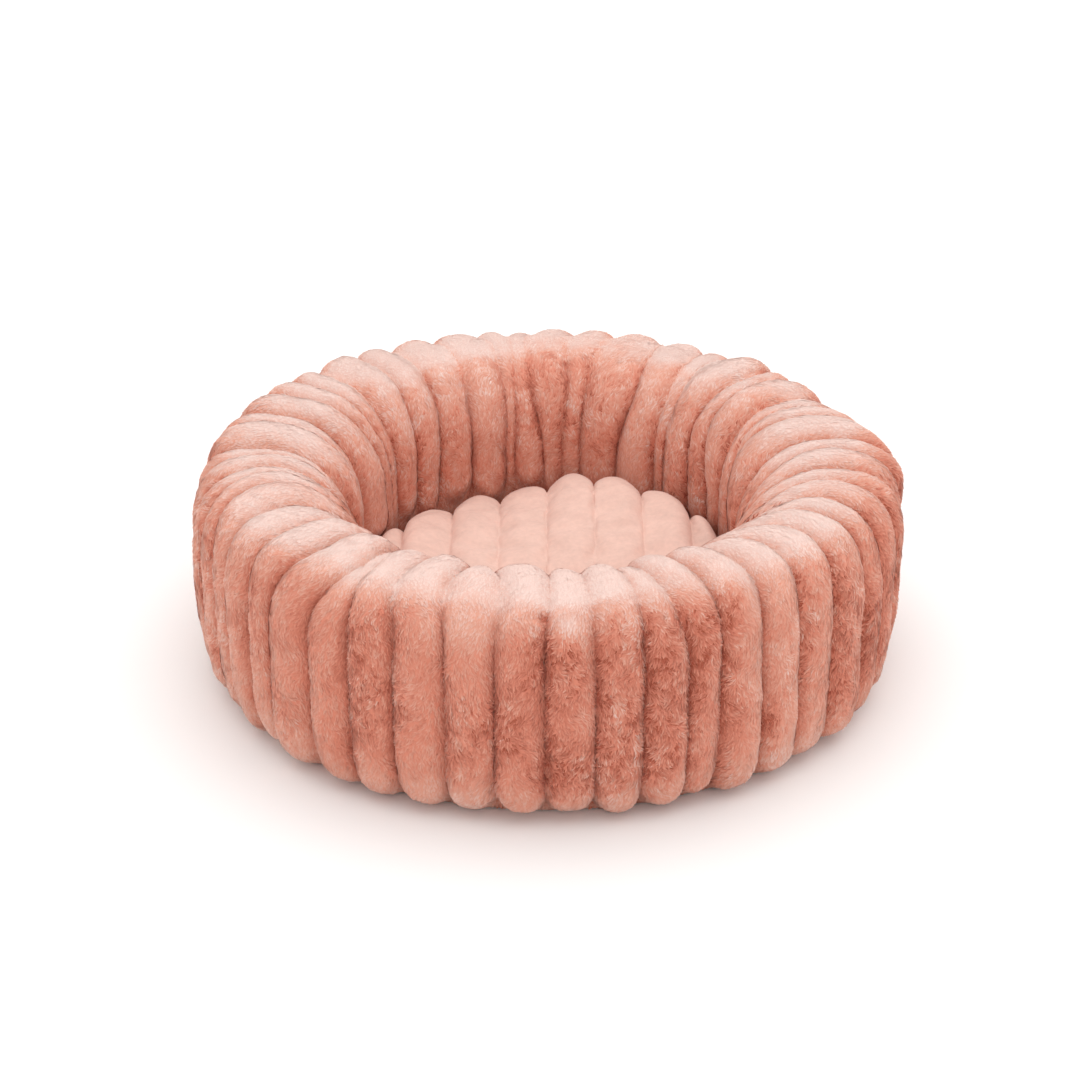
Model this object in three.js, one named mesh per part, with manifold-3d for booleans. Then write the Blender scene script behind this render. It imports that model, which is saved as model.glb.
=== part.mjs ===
// Donut pet bed: a ring-shaped rim with a channelled fur sleeve, and a loose channelled cushion in the middle.
// Millimetres, +Z up, origin on the ground at the middle of the bed, the joined seam of the sleeve towards -Y.
import * as THREE from "three";
import { mergeVertices } from "three/addons/utils/BufferGeometryUtils.js";
import Module from "manifold-3d";

const wasm = await Module();
wasm.setup();

// Overall sizes of the bed
const bedDiameter = 600;
const bedHeight = 184;
const wallThickness = 142;
const widestHeight = 119;
const ribCount = 48;
const ribDepth = 11;

// Sleeve, its backing and its stuffing
const quiltThickness = 5;
const liningThickness = 1.2;
const outerHemHeight = 0.6;
const liningFacets = 16;

// Ground cloth, pad and floor
const bottomThickness = 1.6;
const seamTapeThickness = 0.8;
const seamTapeWidth = 12;
const padThickness = 17;
const padTapeThickness = 1.4;
const floorThickness = 1.5;
const padEdgeClearance = 5;

// Cushion
const cushionHeight = 68;
const cushionClearance = 5;
const cushionCrown = 8;
const channelPitch = 41.5;
const channelDepth = 8;
const channelScallop = 6;
const cushionTopThickness = 3;
const cushionBottomThickness = 1.6;

// Zips: tape, coil, slider and the recess that they lie in
const rimZipLength = 340;
const cushionZipLength = 180;
const tapeThickness = 0.8;
const tapeWidth = 13;
const coilWidth = 2.6;
const coilHeight = 2;
const coilSpacing = 1.6;
const stopLength = 3;
const sliderLength = 9;
const sliderPlate = 1.1;
const sliderWeb = 1;
const sliderFlange = 0.6;
const recessClearance = 1.8;
const lipThickness = 1.2;
const bailBar = 0.8;
const bailLength = 6.8;
const pullLength = 24;
const pullWidth = 6;
const pullThickness = 1.2;
const pullEndRadius = 2.4;

// Clearances
const gap = 0.3;
const overrun = 4;

// Shares of the sizes that they follow
const seamHeightShare = 0.36;
const cushionZipEdgeShare = 0.7765;
const pullWindowShare = 0.3;
const pullArmShare = 0.22;
const lipGroundShare = 0.3;

// How round each corner of the rim's section is: the power of a superellipse
const lowerPower = 4.2;
const upperOuterPower = 3.2;
const upperInnerPower = 2.07;

// Section angles where the sleeve has a line of points, in degrees from the outermost point, and the lining's few
const sleeveAngles = [-62, -18, 32, 72, 110, 155, 200, 242];
const liningAngles = [-62, -18, 32, 110, 155, 242];

// Places across a rib, from valley to valley, as shares of its width, with the share of its depth filled there
const ribAcrossShares = [0, 0.27, 0.73];
const ribFillShares = [0, 1, 1];

// Places across a cushion channel, from -1 at one seam to 1 at the next
const topAcrossShares = [-1, -0.6, 0, 0.6];
const plainAcrossShares = [-1, 0];
const cushionRows = 11;
const zipSteps = 20;
const discSides = 32;

// Colours from the photograph
const furColour = 0xd79a86;
const cushionColour = 0xf0c4b7;
const clothColour = 0xb98a7c;
const groundColour = 0x4a4644;
const fillColour = 0xf3efe9;
const tapeColour = 0xcf9c8e;
const coilColour = 0xc38f82;
const sliderColour = 0xb9b4ae;

// Places that follow from the sizes
const bedRadius = bedDiameter / 2;
const halfWall = wallThickness / 2;
const ringRadius = bedRadius - halfWall;
const throatRadius = bedRadius - wallThickness;
const bottomTop = bottomThickness;
const stuffingBase = bottomTop + 2 * gap + seamTapeThickness;
const padBase = bottomTop + gap;
const floorBase = padBase + padThickness + gap;
const floorTop = floorBase + floorThickness;
const cushionBase = floorTop + gap;
const cushionRadius = throatRadius - cushionClearance;
const seamHeight = cushionBase + cushionHeight * seamHeightShare;
const front = -Math.PI / 2;
const back = Math.PI / 2;
const turn = 2 * Math.PI;

const group = new THREE.Group();
group.name = "donut_pet_bed";

// One named mesh of one material, added to the bed.
function addPiece(name, geometry, colour, roughness) {
  const material = new THREE.MeshStandardMaterial({ color: colour, roughness, metalness: 0 });
  const mesh = new THREE.Mesh(geometry, material);
  mesh.name = name;
  group.add(mesh);
  return mesh;
}

// A closed geometry from corner triples: shared corners are merged and triangles with no area left out.
function closedGeometry(triangles) {
  const flat = new THREE.BufferGeometry();
  flat.setAttribute("position", new THREE.Float32BufferAttribute(triangles.flat(2), 3));
  const merged = mergeVertices(flat, gap / 1000);
  const corners = merged.index.array;
  const kept = [];
  for (let i = 0; i < corners.length; i += 3) {
    const [a, b, c] = [corners[i], corners[i + 1], corners[i + 2]];
    if (a !== b && b !== c && c !== a) kept.push(a, b, c);
  }
  merged.setIndex(kept);
  return merged;
}

// The two triangles of a four-cornered patch.
function patch(a, b, c, d) {
  return [
    [a, b, c],
    [a, c, d],
  ];
}

// A ring or a stretch of one: closed sections [r, z] from sectionAt(angle), anticlockwise seen along the sweep.
function sweptRing(angles, sectionAt, closed) {
  const loops = angles.map((angle) => standAt(sectionAt(angle), angle));
  const triangles = [];
  const count = loops[0].length;
  const steps = closed ? loops.length : loops.length - 1;
  for (let i = 0; i < steps; i += 1) {
    const here = loops[i];
    const next = loops[(i + 1) % loops.length];
    for (let j = 0; j < count; j += 1) {
      const k = (j + 1) % count;
      triangles.push(...patch(here[j], next[j], next[k], here[k]));
    }
  }
  if (!closed) {
    const last = loops[loops.length - 1];
    for (let j = 1; j < count - 1; j += 1) {
      triangles.push([loops[0][0], loops[0][j], loops[0][j + 1]]);
      triangles.push([last[0], last[j + 1], last[j]]);
    }
  }
  return closedGeometry(triangles);
}

// Evenly spaced angles, over a stretch with both ends or round the whole ring.
function stretchAngles(start, sweep, steps) {
  return Array.from({ length: steps + 1 }, (_, i) => start + (sweep * i) / steps);
}

function ringAngles(count, start) {
  return Array.from({ length: count }, (_, i) => start + (turn * i) / count);
}

// A rectangle [r, z], anticlockwise seen along the sweep.
function box2(r0, r1, z0, z1) {
  return [
    [r0, z0],
    [r1, z0],
    [r1, z1],
    [r0, z1],
  ];
}

// A flat band of rectangular section along a stretch of the ring.
function arcBand(r0, r1, z0, z1, start, sweep, steps) {
  return sweptRing(stretchAngles(start, sweep, steps), () => box2(r0, r1, z0, z1), false);
}

function flatRing(r0, r1, z0, z1) {
  return sweptRing(ringAngles(discSides, front), () => box2(r0, r1, z0, z1), true);
}

function disc(radius, z0, z1) {
  const geometry = new THREE.CylinderGeometry(radius, radius, z1 - z0, discSides);
  geometry.rotateX(back);
  geometry.translate(0, 0, (z0 + z1) / 2);
  return geometry;
}

// Joins and cuts by manifold-3d.
function toSolid(geometry) {
  const bare = geometry.clone();
  bare.deleteAttribute("normal");
  bare.deleteAttribute("uv");
  const merged = mergeVertices(bare, gap / 1000);
  return new wasm.Manifold(
    new wasm.Mesh({
      numProp: 3,
      vertProperties: merged.attributes.position.array,
      triVerts: new Uint32Array(merged.index.array),
    }),
  );
}

function toGeometry(solid) {
  const mesh = solid.getMesh();
  const geometry = new THREE.BufferGeometry();
  const places = new Float32Array(mesh.numVert * 3);
  for (let i = 0; i < mesh.numVert; i += 1) {
    places.set(mesh.vertProperties.subarray(i * mesh.numProp, i * mesh.numProp + 3), i * 3);
  }
  geometry.setAttribute("position", new THREE.BufferAttribute(places, 3));
  geometry.setIndex(new THREE.BufferAttribute(mesh.triVerts, 1));
  geometry.computeVertexNormals();
  return geometry;
}

function joined(...geometries) {
  return toGeometry(geometries.map(toSolid).reduce((whole, next) => whole.add(next)));
}

function cut(geometry, ...tools) {
  return toGeometry(tools.map(toSolid).reduce((whole, tool) => whole.subtract(tool), toSolid(geometry)));
}

// A point [r, z] of the rim's section, a superellipse about the ring's middle line, drawn in by inset all round.
function sectionPoint(degrees, inset) {
  const angle = THREE.MathUtils.degToRad(degrees);
  const across = Math.cos(angle);
  const up = Math.sin(angle);
  const upperPower = across < 0 ? upperInnerPower : upperOuterPower;
  const power = up < 0 ? lowerPower : upperPower;
  const reach = (halfWall - inset) * Math.sign(across) * Math.abs(across) ** (2 / power);
  const above = bedHeight - widestHeight - inset;
  const below = widestHeight - stuffingBase;
  const rise = (up < 0 ? -below : above) * Math.abs(up) ** (2 / power);
  return [ringRadius + reach, widestHeight + rise];
}

// The smooth facetted section inside the sleeve. On the inner wall the facets' middles lie nearer the axis than their
// corners, so the corners stand further out there.
function liningSection(inset, base) {
  const facetShare = Math.cos(Math.PI / liningFacets);
  const points = liningAngles.map((degrees) => {
    const [r, z] = sectionPoint(degrees, inset);
    return [r < ringRadius ? r / facetShare : r, z];
  });
  points[0][1] = base;
  points[points.length - 1][1] = base;
  return points;
}

// The ribbed sleeve's outline at one place across a rib, with both hems on their lines.
function sleeveOutline(fillShare) {
  const points = sleeveAngles.map((degrees) => sectionPoint(degrees, ribDepth * (1 - fillShare)));
  points[0][1] = outerHemHeight;
  points[points.length - 1][1] = stuffingBase + gap;
  return points;
}

// Triangles of a skin from one line of section points to the next, round the whole ring.
function ringSkin(loops) {
  const triangles = [];
  loops.forEach((here, i) => {
    const next = loops[(i + 1) % loops.length];
    for (let j = 0; j + 1 < here.length; j += 1) {
      triangles.push(...patch(here[j], next[j], next[j + 1], here[j + 1]));
    }
  });
  return triangles;
}

// Triangles that join two round edges of different counts, both starting at the same angle and going the same way.
function edgeBand(many, few) {
  const triangles = [];
  let j = 0;
  for (let i = 0; i < many.length; i += 1) {
    const next = many[(i + 1) % many.length];
    triangles.push([many[i], few[j % few.length], next]);
    if ((i + 1) * few.length >= (j + 1) * many.length) {
      triangles.push([next, few[j % few.length], few[(j + 1) % few.length]]);
      j += 1;
    }
  }
  return triangles;
}

function reversed(triangles) {
  return triangles.map(([a, b, c]) => [a, c, b]);
}

// A section's points [r, z] at an angle, in space.
function standAt(points, angle) {
  return points.map(([r, z]) => [r * Math.cos(angle), r * Math.sin(angle), z]);
}

// The fur sleeve: its ribs run over the rim from the outer hem to the inner one, and its inside is smooth.
function makeRimCover() {
  const outside = [];
  for (let rib = 0; rib < ribCount; rib += 1) {
    ribAcrossShares.forEach((share, i) => {
      const angle = front + (turn * (rib + share)) / ribCount;
      outside.push(standAt(sleeveOutline(ribFillShares[i]), angle));
    });
  }
  const hemBases = [outerHemHeight, stuffingBase + gap];
  const smooth = liningSection(ribDepth + quiltThickness, 0);
  const end = smooth.length - 1;
  smooth[0][1] = hemBases[0];
  smooth[end][1] = hemBases[1];
  const inside = ringAngles(liningFacets, front).map((angle) => standAt(smooth, angle));
  const lastLine = outside[0].length - 1;
  const outerHem = edgeBand(
    outside.map((line) => line[0]),
    inside.map((line) => line[0]),
  );
  const innerHem = edgeBand(
    outside.map((line) => line[lastLine]),
    inside.map((line) => line[end]),
  );
  const sleeve = closedGeometry([
    ...ringSkin(outside),
    ...reversed(ringSkin(inside)),
    ...outerHem,
    ...reversed(innerHem),
  ]);
  addPiece("rim_cover", sleeve, furColour, 0.95);
}

// The woven backing that the sleeve's ribs are stitched to.
function makeRimLining() {
  const inset = ribDepth + quiltThickness + gap;
  const outer = liningSection(inset, stuffingBase);
  const inner = liningSection(inset + liningThickness, stuffingBase);
  const section = [...outer, ...inner.reverse()];
  const geometry = sweptRing(ringAngles(liningFacets, front), () => section, true);
  addPiece("rim_lining", geometry, clothColour, 0.9);
}

// The ring of fibre that fills the rim, grooved over the zip.
function makeRimFill(zip) {
  const inset = ribDepth + quiltThickness + liningThickness + 2 * gap;
  const body = sweptRing(
    ringAngles(liningFacets, front),
    () => liningSection(inset, stuffingBase),
    true,
  );
  addPiece("rim_fill", cut(body, zip.groove), fillColour, 1);
}

// Radius of the sleeve's hems: the inside of the outer hem and the crest of the inner one.
function hemRadii() {
  const facetShare = Math.cos(Math.PI / liningFacets);
  const outer = sectionPoint(sleeveAngles[0], ribDepth + quiltThickness)[0] * facetShare;
  const inner = sectionPoint(sleeveAngles[sleeveAngles.length - 1], 0)[0];
  return { outer, inner };
}

// The ground cloth with its zip opening, and the tapes that bind both hems to it.
function makeBase(zip) {
  const hems = hemRadii();
  const edge = hems.outer - gap;
  const plain = disc(edge, 0, bottomThickness);
  addPiece("bottom_cloth", joined(cut(plain, zip.slot), ...zip.lips), groundColour, 0.85);
  const z0 = bottomTop + gap;
  const z1 = z0 + seamTapeThickness;
  addPiece("outer_seam_tape", flatRing(edge - seamTapeWidth, edge, z0, z1), tapeColour, 0.9);
  addPiece("inner_seam_tape", flatRing(hems.inner, hems.inner + seamTapeWidth, z0, z1), tapeColour, 0.9);
}

// Radius of the sleeve's inner wall at a height near the floor, on the crest of a rib.
function innerWallRadius(height) {
  const points = sleeveOutline(1);
  const upper = points.findLastIndex(([r, z]) => r < ringRadius && z > height);
  const [r0, z0] = points[upper];
  const [r1, z1] = points[upper + 1];
  return r0 + ((r1 - r0) * (z0 - height)) / (z0 - z1);
}

// The wadding pad under the floor cloth, with its side tape.
function makeFloor() {
  const tapeRadius = innerWallRadius(floorTop) - padEdgeClearance;
  const padRadius = tapeRadius - padTapeThickness - gap;
  addPiece("base_pad", disc(padRadius, padBase, padBase + padThickness), fillColour, 1);
  const ring = flatRing(tapeRadius - padTapeThickness, tapeRadius, padBase, padBase + padThickness);
  addPiece("pad_side_tape", ring, tapeColour, 0.9);
  addPiece("floor_cloth", disc(tapeRadius, floorBase, floorTop), clothColour, 0.9);
}

// Where the cushion's seams lie across it, on a cushion smaller by inset all round.
function channelEdges(inset) {
  const reach = cushionRadius - channelScallop - inset;
  const sideCount = Math.ceil((cushionRadius - channelScallop) / channelPitch) - 1;
  const edges = [-reach];
  for (let i = -sideCount; i <= sideCount; i += 1) edges.push(i * channelPitch);
  edges.push(reach);
  return edges;
}

// A grid of points over the round cushion: each column runs from front to back along one place of a channel, and
// heightAt(share of the radius, fullness of the channel there) gives the height of each point.
function cushionGrid(inset, acrossShares, heightAt) {
  const edges = channelEdges(inset);
  const columns = [];
  for (let i = 0; i + 1 < edges.length; i += 1) {
    const middle = (edges[i] + edges[i + 1]) / 2;
    const half = (edges[i + 1] - edges[i]) / 2;
    for (const share of acrossShares) {
      columns.push({ x: middle + half * share, full: Math.sqrt(1 - share * share) });
    }
  }
  columns.push({ x: edges[edges.length - 1], full: 0 });
  return columns.map(({ x, full }) => {
    const edge = cushionRadius - inset - channelScallop * (1 - full);
    const reach = Math.sqrt(Math.max(0, edge * edge - x * x));
    return Array.from({ length: cushionRows + 1 }, (_, j) => {
      const y = reach * Math.sin(back * ((2 * j) / cushionRows - 1));
      const radiusShare = Math.min(1, Math.hypot(x, y) / edge);
      return [x, y, heightAt(radiusShare, full)];
    });
  });
}

// The cushion's upper side: a crown with drawn-in sides and a valley along each seam.
function upperSide(inset, acrossShares, rim) {
  const rise = cushionBase + cushionHeight - seamHeight - inset;
  return cushionGrid(inset, acrossShares, (radiusShare, full) => {
    const shoulder = Math.cbrt(1 - radiusShare ** 9);
    const crown = cushionCrown * (1 - radiusShare ** 2);
    const body = (rise - cushionCrown) * shoulder + crown;
    return rim + body - channelDepth * (1 - full) * shoulder;
  });
}

// The cushion's underside: flat, with rounded edges up to the side seam.
function lowerSide(inset, acrossShares, rim, thickness) {
  const drop = seamHeight - cushionBase - thickness;
  return cushionGrid(inset, acrossShares, (radiusShare) => rim - drop * Math.cbrt(1 - radiusShare ** 8));
}

// A solid between two grids of the same layout, the first above the second.
function betweenGrids(above, below) {
  const triangles = [];
  const columns = above.length;
  const rows = above[0].length;
  for (let i = 0; i + 1 < columns; i += 1) {
    for (let j = 0; j + 1 < rows; j += 1) {
      triangles.push(...patch(above[i][j], above[i + 1][j], above[i + 1][j + 1], above[i][j + 1]));
      triangles.push(...patch(below[i][j], below[i][j + 1], below[i + 1][j + 1], below[i + 1][j]));
    }
    const end = rows - 1;
    triangles.push(...patch(below[i][0], below[i + 1][0], above[i + 1][0], above[i][0]));
    triangles.push(...patch(above[i][end], above[i + 1][end], below[i + 1][end], below[i][end]));
  }
  return closedGeometry(triangles);
}

// The cushion: channelled plush on top, plain cloth with a zip below, and its stuffing.
function makeCushion(zip) {
  const topRim = seamHeight + gap / 2;
  const bottomRim = seamHeight - gap / 2;
  const top = betweenGrids(
    upperSide(0, topAcrossShares, topRim),
    upperSide(cushionTopThickness, topAcrossShares, topRim),
  );
  addPiece("cushion_top", top, cushionColour, 0.9);
  const bottom = betweenGrids(
    lowerSide(cushionTopThickness, plainAcrossShares, bottomRim, gap / 2 + cushionBottomThickness),
    lowerSide(0, plainAcrossShares, bottomRim, gap / 2),
  );
  addPiece("cushion_bottom", joined(cut(bottom, zip.slot), ...zip.lips), clothColour, 0.9);
  const inset = cushionTopThickness + gap;
  const fill = betweenGrids(
    upperSide(inset, plainAcrossShares, seamHeight),
    lowerSide(inset, plainAcrossShares, seamHeight, cushionBottomThickness + gap),
  );
  addPiece("cushion_fill", cut(fill, zip.groove), fillColour, 1);
}

// A box between two corners given in a zip's own axes: along it, across it and up.
function boxAt(low, high) {
  const size = high.map((value, i) => value - low[i]);
  const geometry = new THREE.BoxGeometry(...size);
  geometry.translate(...low.map((value, i) => value + size[i] / 2));
  return geometry;
}

// Moves a shape made in a zip's own axes to its angle on the ring: along the arc, outwards and up.
function placeOnArc(geometry, radius, angle) {
  const across = new THREE.Vector3(Math.cos(angle), Math.sin(angle), 0);
  const along = new THREE.Vector3(-Math.sin(angle), Math.cos(angle), 0);
  const frame = new THREE.Matrix4().makeBasis(along, across.clone().negate(), new THREE.Vector3(0, 0, 1));
  frame.setPosition(across.multiplyScalar(radius));
  return geometry.applyMatrix4(frame);
}

// Heights and half widths that every zip shares, from the underside of its tape.
const coilTop = -gap;
const coilBottom = coilTop - coilHeight;
const coilInner = coilSpacing / 2;
const coilOuter = coilInner + coilWidth;
const lowerPlateTop = coilBottom - gap;
const lowerPlateBottom = lowerPlateTop - sliderPlate;
const upperPlateBottom = tapeThickness + gap;
const upperPlateTop = upperPlateBottom + sliderPlate;
const sliderHalfWidth = coilOuter + gap + sliderFlange;
const recessHalfWidth = sliderHalfWidth + recessClearance;
const pullAxisHeight = lowerPlateBottom - gap - pullThickness / 2;
const bailBottom = pullAxisHeight - pullThickness / 2 - gap - bailBar;

// One zip on an arc about the bed's axis: clothBase is the underside of the cloth that holds it, clothTop its upper
// side, and tail the room kept free past each stop.
function zipLayout({ radius, clothBase, clothTop, length, depth, tail, middle }) {
  const tapeBase = clothBase + depth;
  const sweep = length / radius;
  const start = middle - sweep / 2;
  const stopSweep = stopLength / radius;
  const gapSweep = gap / radius;
  const coilStart = start + tail / radius + stopSweep + 2 * gapSweep;
  const coilEnd = start + sweep - tail / radius - stopSweep - 2 * gapSweep;
  const halfSlider = sliderLength / 2 / radius;
  const restAngle = coilStart + halfSlider + gapSweep;
  const farAngle = coilEnd - halfSlider - gapSweep;
  const band = (half0, half1, z0, z1) =>
    arcBand(radius + half0, radius + half1, z0, z1, start, sweep, zipSteps);
  const lipBase = clothTop - (clothTop - clothBase) * lipGroundShare;
  const lipOuter = recessHalfWidth + lipThickness;
  return {
    radius,
    tapeBase,
    start,
    sweep,
    coilStart,
    coilEnd,
    restAngle,
    travel: farAngle - restAngle,
    slot: band(-recessHalfWidth, recessHalfWidth, clothBase - overrun, clothTop + overrun),
    lips: [
      band(-lipOuter, -recessHalfWidth, lipBase, tapeBase - gap),
      band(recessHalfWidth, lipOuter, lipBase, tapeBase - gap),
    ],
    groove: arcBand(
      radius - coilInner - tapeWidth - gap,
      radius + coilInner + tapeWidth + gap,
      clothBase - overrun,
      tapeBase + upperPlateTop + gap,
      start - 2 * gapSweep,
      sweep + 4 * gapSweep,
      zipSteps,
    ),
  };
}

// A coil's section: six sides, in radius and height.
function coilSection(middleRadius, middleHeight) {
  return Array.from({ length: 6 }, (_, i) => {
    const angle = (turn * i) / 6;
    return [
      middleRadius + (coilWidth / 2) * Math.cos(angle),
      middleHeight + (coilHeight / 2) * Math.sin(angle),
    ];
  });
}

// The fixed pieces of a zip: two tapes, two coils and a stop at each end.
function makeZip(name, zip) {
  const { radius, tapeBase, start, sweep } = zip;
  const tapeTop = tapeBase + tapeThickness;
  const near = coilInner;
  const far = coilInner + tapeWidth;
  const tapeAt = (r0, r1) => arcBand(radius + r0, radius + r1, tapeBase, tapeTop, start, sweep, zipSteps);
  addPiece(`${name}_tape_inner`, tapeAt(-far, -near), tapeColour, 0.9);
  addPiece(`${name}_tape_outer`, tapeAt(near, far), tapeColour, 0.9);
  const coilAngles = stretchAngles(zip.coilStart, zip.coilEnd - zip.coilStart, zipSteps);
  const coilHeightAt = tapeBase + (coilTop + coilBottom) / 2;
  const coilMiddle = (coilInner + coilOuter) / 2;
  for (const [side, sign] of [
    ["inner", -1],
    ["outer", 1],
  ]) {
    const section = coilSection(radius + sign * coilMiddle, coilHeightAt);
    addPiece(`${name}_coil_${side}`, sweptRing(coilAngles, () => section, false), coilColour, 0.5);
  }
  const stopSweep = stopLength / radius;
  const gapSweep = gap / radius;
  const stopAt = (angle) =>
    arcBand(
      radius - coilOuter,
      radius + coilOuter,
      tapeBase + coilBottom,
      tapeBase + coilTop,
      angle,
      stopSweep,
      1,
    );
  addPiece(`${name}_stop_near`, stopAt(zip.coilStart - stopSweep - gapSweep), sliderColour, 0.4);
  addPiece(`${name}_stop_far`, stopAt(zip.coilEnd + gapSweep), sliderColour, 0.4);
}

// A slider in its zip's own axes: two plates on a web between the coils, with a flange beside each coil.
function sliderBody() {
  const half = sliderLength / 2;
  const side = sliderHalfWidth;
  return joined(
    boxAt([-half, -side, lowerPlateBottom], [half, side, lowerPlateTop]),
    boxAt([-half, -side, upperPlateBottom], [half, side, upperPlateTop]),
    boxAt(
      [-half, -sliderWeb / 2, lowerPlateBottom + sliderPlate / 2],
      [half, sliderWeb / 2, upperPlateTop - sliderPlate / 2],
    ),
    boxAt([-half, -side, lowerPlateBottom + sliderPlate / 2], [half, sliderFlange - side, coilTop]),
    boxAt([-half, side - sliderFlange, lowerPlateBottom + sliderPlate / 2], [half, side, coilTop]),
  );
}

// The bail under a slider that holds its pull: a small square arch.
function bail() {
  const half = bailLength / 2;
  const side = bailBar;
  const seat = lowerPlateBottom + sliderPlate / 2;
  return joined(
    boxAt([-half, -side, bailBottom], [half, side, bailBottom + bailBar]),
    boxAt([-half, -side, bailBottom], [bailBar - half, side, seat]),
    boxAt([half - bailBar, -side, bailBottom], [half, side, seat]),
  );
}

// The pull tab: a cross bar that lies in the bail, two arms and a plate with a rounded end.
function pullTab() {
  const half = pullWidth / 2;
  const arm = pullWidth * pullArmShare;
  const windowEnd = pullLength * pullWindowShare;
  const shape = new THREE.Shape();
  const barBack = -pullThickness / 2;
  shape.moveTo(barBack, -half);
  shape.lineTo(pullLength - pullEndRadius, -half);
  shape.absarc(pullLength - pullEndRadius, -half + pullEndRadius, pullEndRadius, -back, 0, false);
  shape.absarc(pullLength - pullEndRadius, half - pullEndRadius, pullEndRadius, 0, back, false);
  shape.lineTo(barBack, half);
  shape.closePath();
  const window = new THREE.Path();
  window.moveTo(-barBack, arm - half);
  window.lineTo(-barBack, half - arm);
  window.lineTo(windowEnd, half - arm);
  window.lineTo(windowEnd, arm - half);
  window.closePath();
  shape.holes.push(window);
  const tab = new THREE.ExtrudeGeometry(shape, {
    depth: pullThickness,
    bevelEnabled: false,
    curveSegments: 4,
  });
  tab.translate(0, 0, pullAxisHeight - pullThickness / 2);
  return toGeometry(toSolid(tab));
}

// Depth from a cloth's underside up to its zip's tape: the slider, with or without its pull, stays above the cloth's
// underside by one clearance.
const rimZipDepth = gap - bailBottom;
const cushionZipDepth = gap - lowerPlateBottom;

const rimZip = zipLayout({
  radius: ringRadius,
  clothBase: 0,
  clothTop: bottomTop,
  length: rimZipLength,
  depth: rimZipDepth,
  tail: pullLength,
  middle: back,
});
const cushionZip = zipLayout({
  radius: cushionRadius * cushionZipEdgeShare - tapeWidth - coilInner,
  clothBase: cushionBase,
  clothTop: cushionBase + cushionBottomThickness,
  length: cushionZipLength,
  depth: cushionZipDepth,
  tail: 0,
  middle: back,
});

makeRimCover();
makeRimLining();
makeRimFill(rimZip);
makeBase(rimZip);
makeFloor();
makeZip("rim_zip", rimZip);
const rimSlider = joined(sliderBody(), bail()).translate(0, 0, rimZip.tapeBase);
addPiece("rim_zip_slider", placeOnArc(rimSlider, rimZip.radius, rimZip.restAngle), sliderColour, 0.35);
const rimPull = pullTab().translate(0, 0, rimZip.tapeBase);
addPiece("rim_zip_pull", placeOnArc(rimPull, rimZip.radius, rimZip.restAngle), sliderColour, 0.35);
makeCushion(cushionZip);
makeZip("cushion_zip", cushionZip);
const cushionSlider = sliderBody().translate(0, 0, cushionZip.tapeBase);
addPiece(
  "cushion_zip_slider",
  placeOnArc(cushionSlider, cushionZip.radius, cushionZip.restAngle),
  sliderColour,
  0.35,
);

export default group;
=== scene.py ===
"""Donut pet bed: a ring of furry ribs round a loose channelled cushion, built as surfaces of two values."""
import math

import bmesh
import bpy
import numpy as np
from bpy.props import FloatProperty, FloatVectorProperty, IntProperty, PointerProperty
from bpy.types import Operator, Panel, PropertyGroup
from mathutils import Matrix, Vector


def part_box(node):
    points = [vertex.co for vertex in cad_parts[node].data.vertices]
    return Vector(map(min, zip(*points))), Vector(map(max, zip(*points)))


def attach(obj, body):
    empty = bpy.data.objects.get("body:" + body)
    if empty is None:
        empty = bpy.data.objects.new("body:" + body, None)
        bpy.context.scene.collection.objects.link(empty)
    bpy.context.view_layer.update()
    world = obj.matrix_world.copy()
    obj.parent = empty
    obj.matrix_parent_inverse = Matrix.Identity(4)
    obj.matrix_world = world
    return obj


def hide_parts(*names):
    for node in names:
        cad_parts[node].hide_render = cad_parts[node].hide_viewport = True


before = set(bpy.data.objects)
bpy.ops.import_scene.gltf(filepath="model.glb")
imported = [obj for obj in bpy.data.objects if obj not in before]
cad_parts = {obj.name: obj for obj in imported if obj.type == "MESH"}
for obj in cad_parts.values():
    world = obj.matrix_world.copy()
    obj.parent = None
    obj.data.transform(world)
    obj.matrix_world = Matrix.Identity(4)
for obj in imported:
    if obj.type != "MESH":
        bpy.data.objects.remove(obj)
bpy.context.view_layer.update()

bl_info = {
    "name": "Donut pet bed",
    "version": (1, 0, 0),
    "blender": (4, 5, 0),
    "location": "3D View > Sidebar > Pet bed",
    "description": "Builds a ring-shaped plush pet bed with a loose channelled cushion",
    "category": "Add Mesh",
}

TURN = 2 * math.pi
FRONT = -math.pi / 2
BACK = math.pi / 2
# The smallest gap that is left between two pieces, in metres.
HAIR = 0.0003
# How many ribs the rim has, and where its crest lies and its inner wall begins, in degrees up the section
# from its outermost point.
RIBS = 48
CREST = 90
INNER_WALL = 120
# Two ribs touch this far up a seam's depth, so the line between them is no deeper.
SEAM_TOUCH = 0.27

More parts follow.
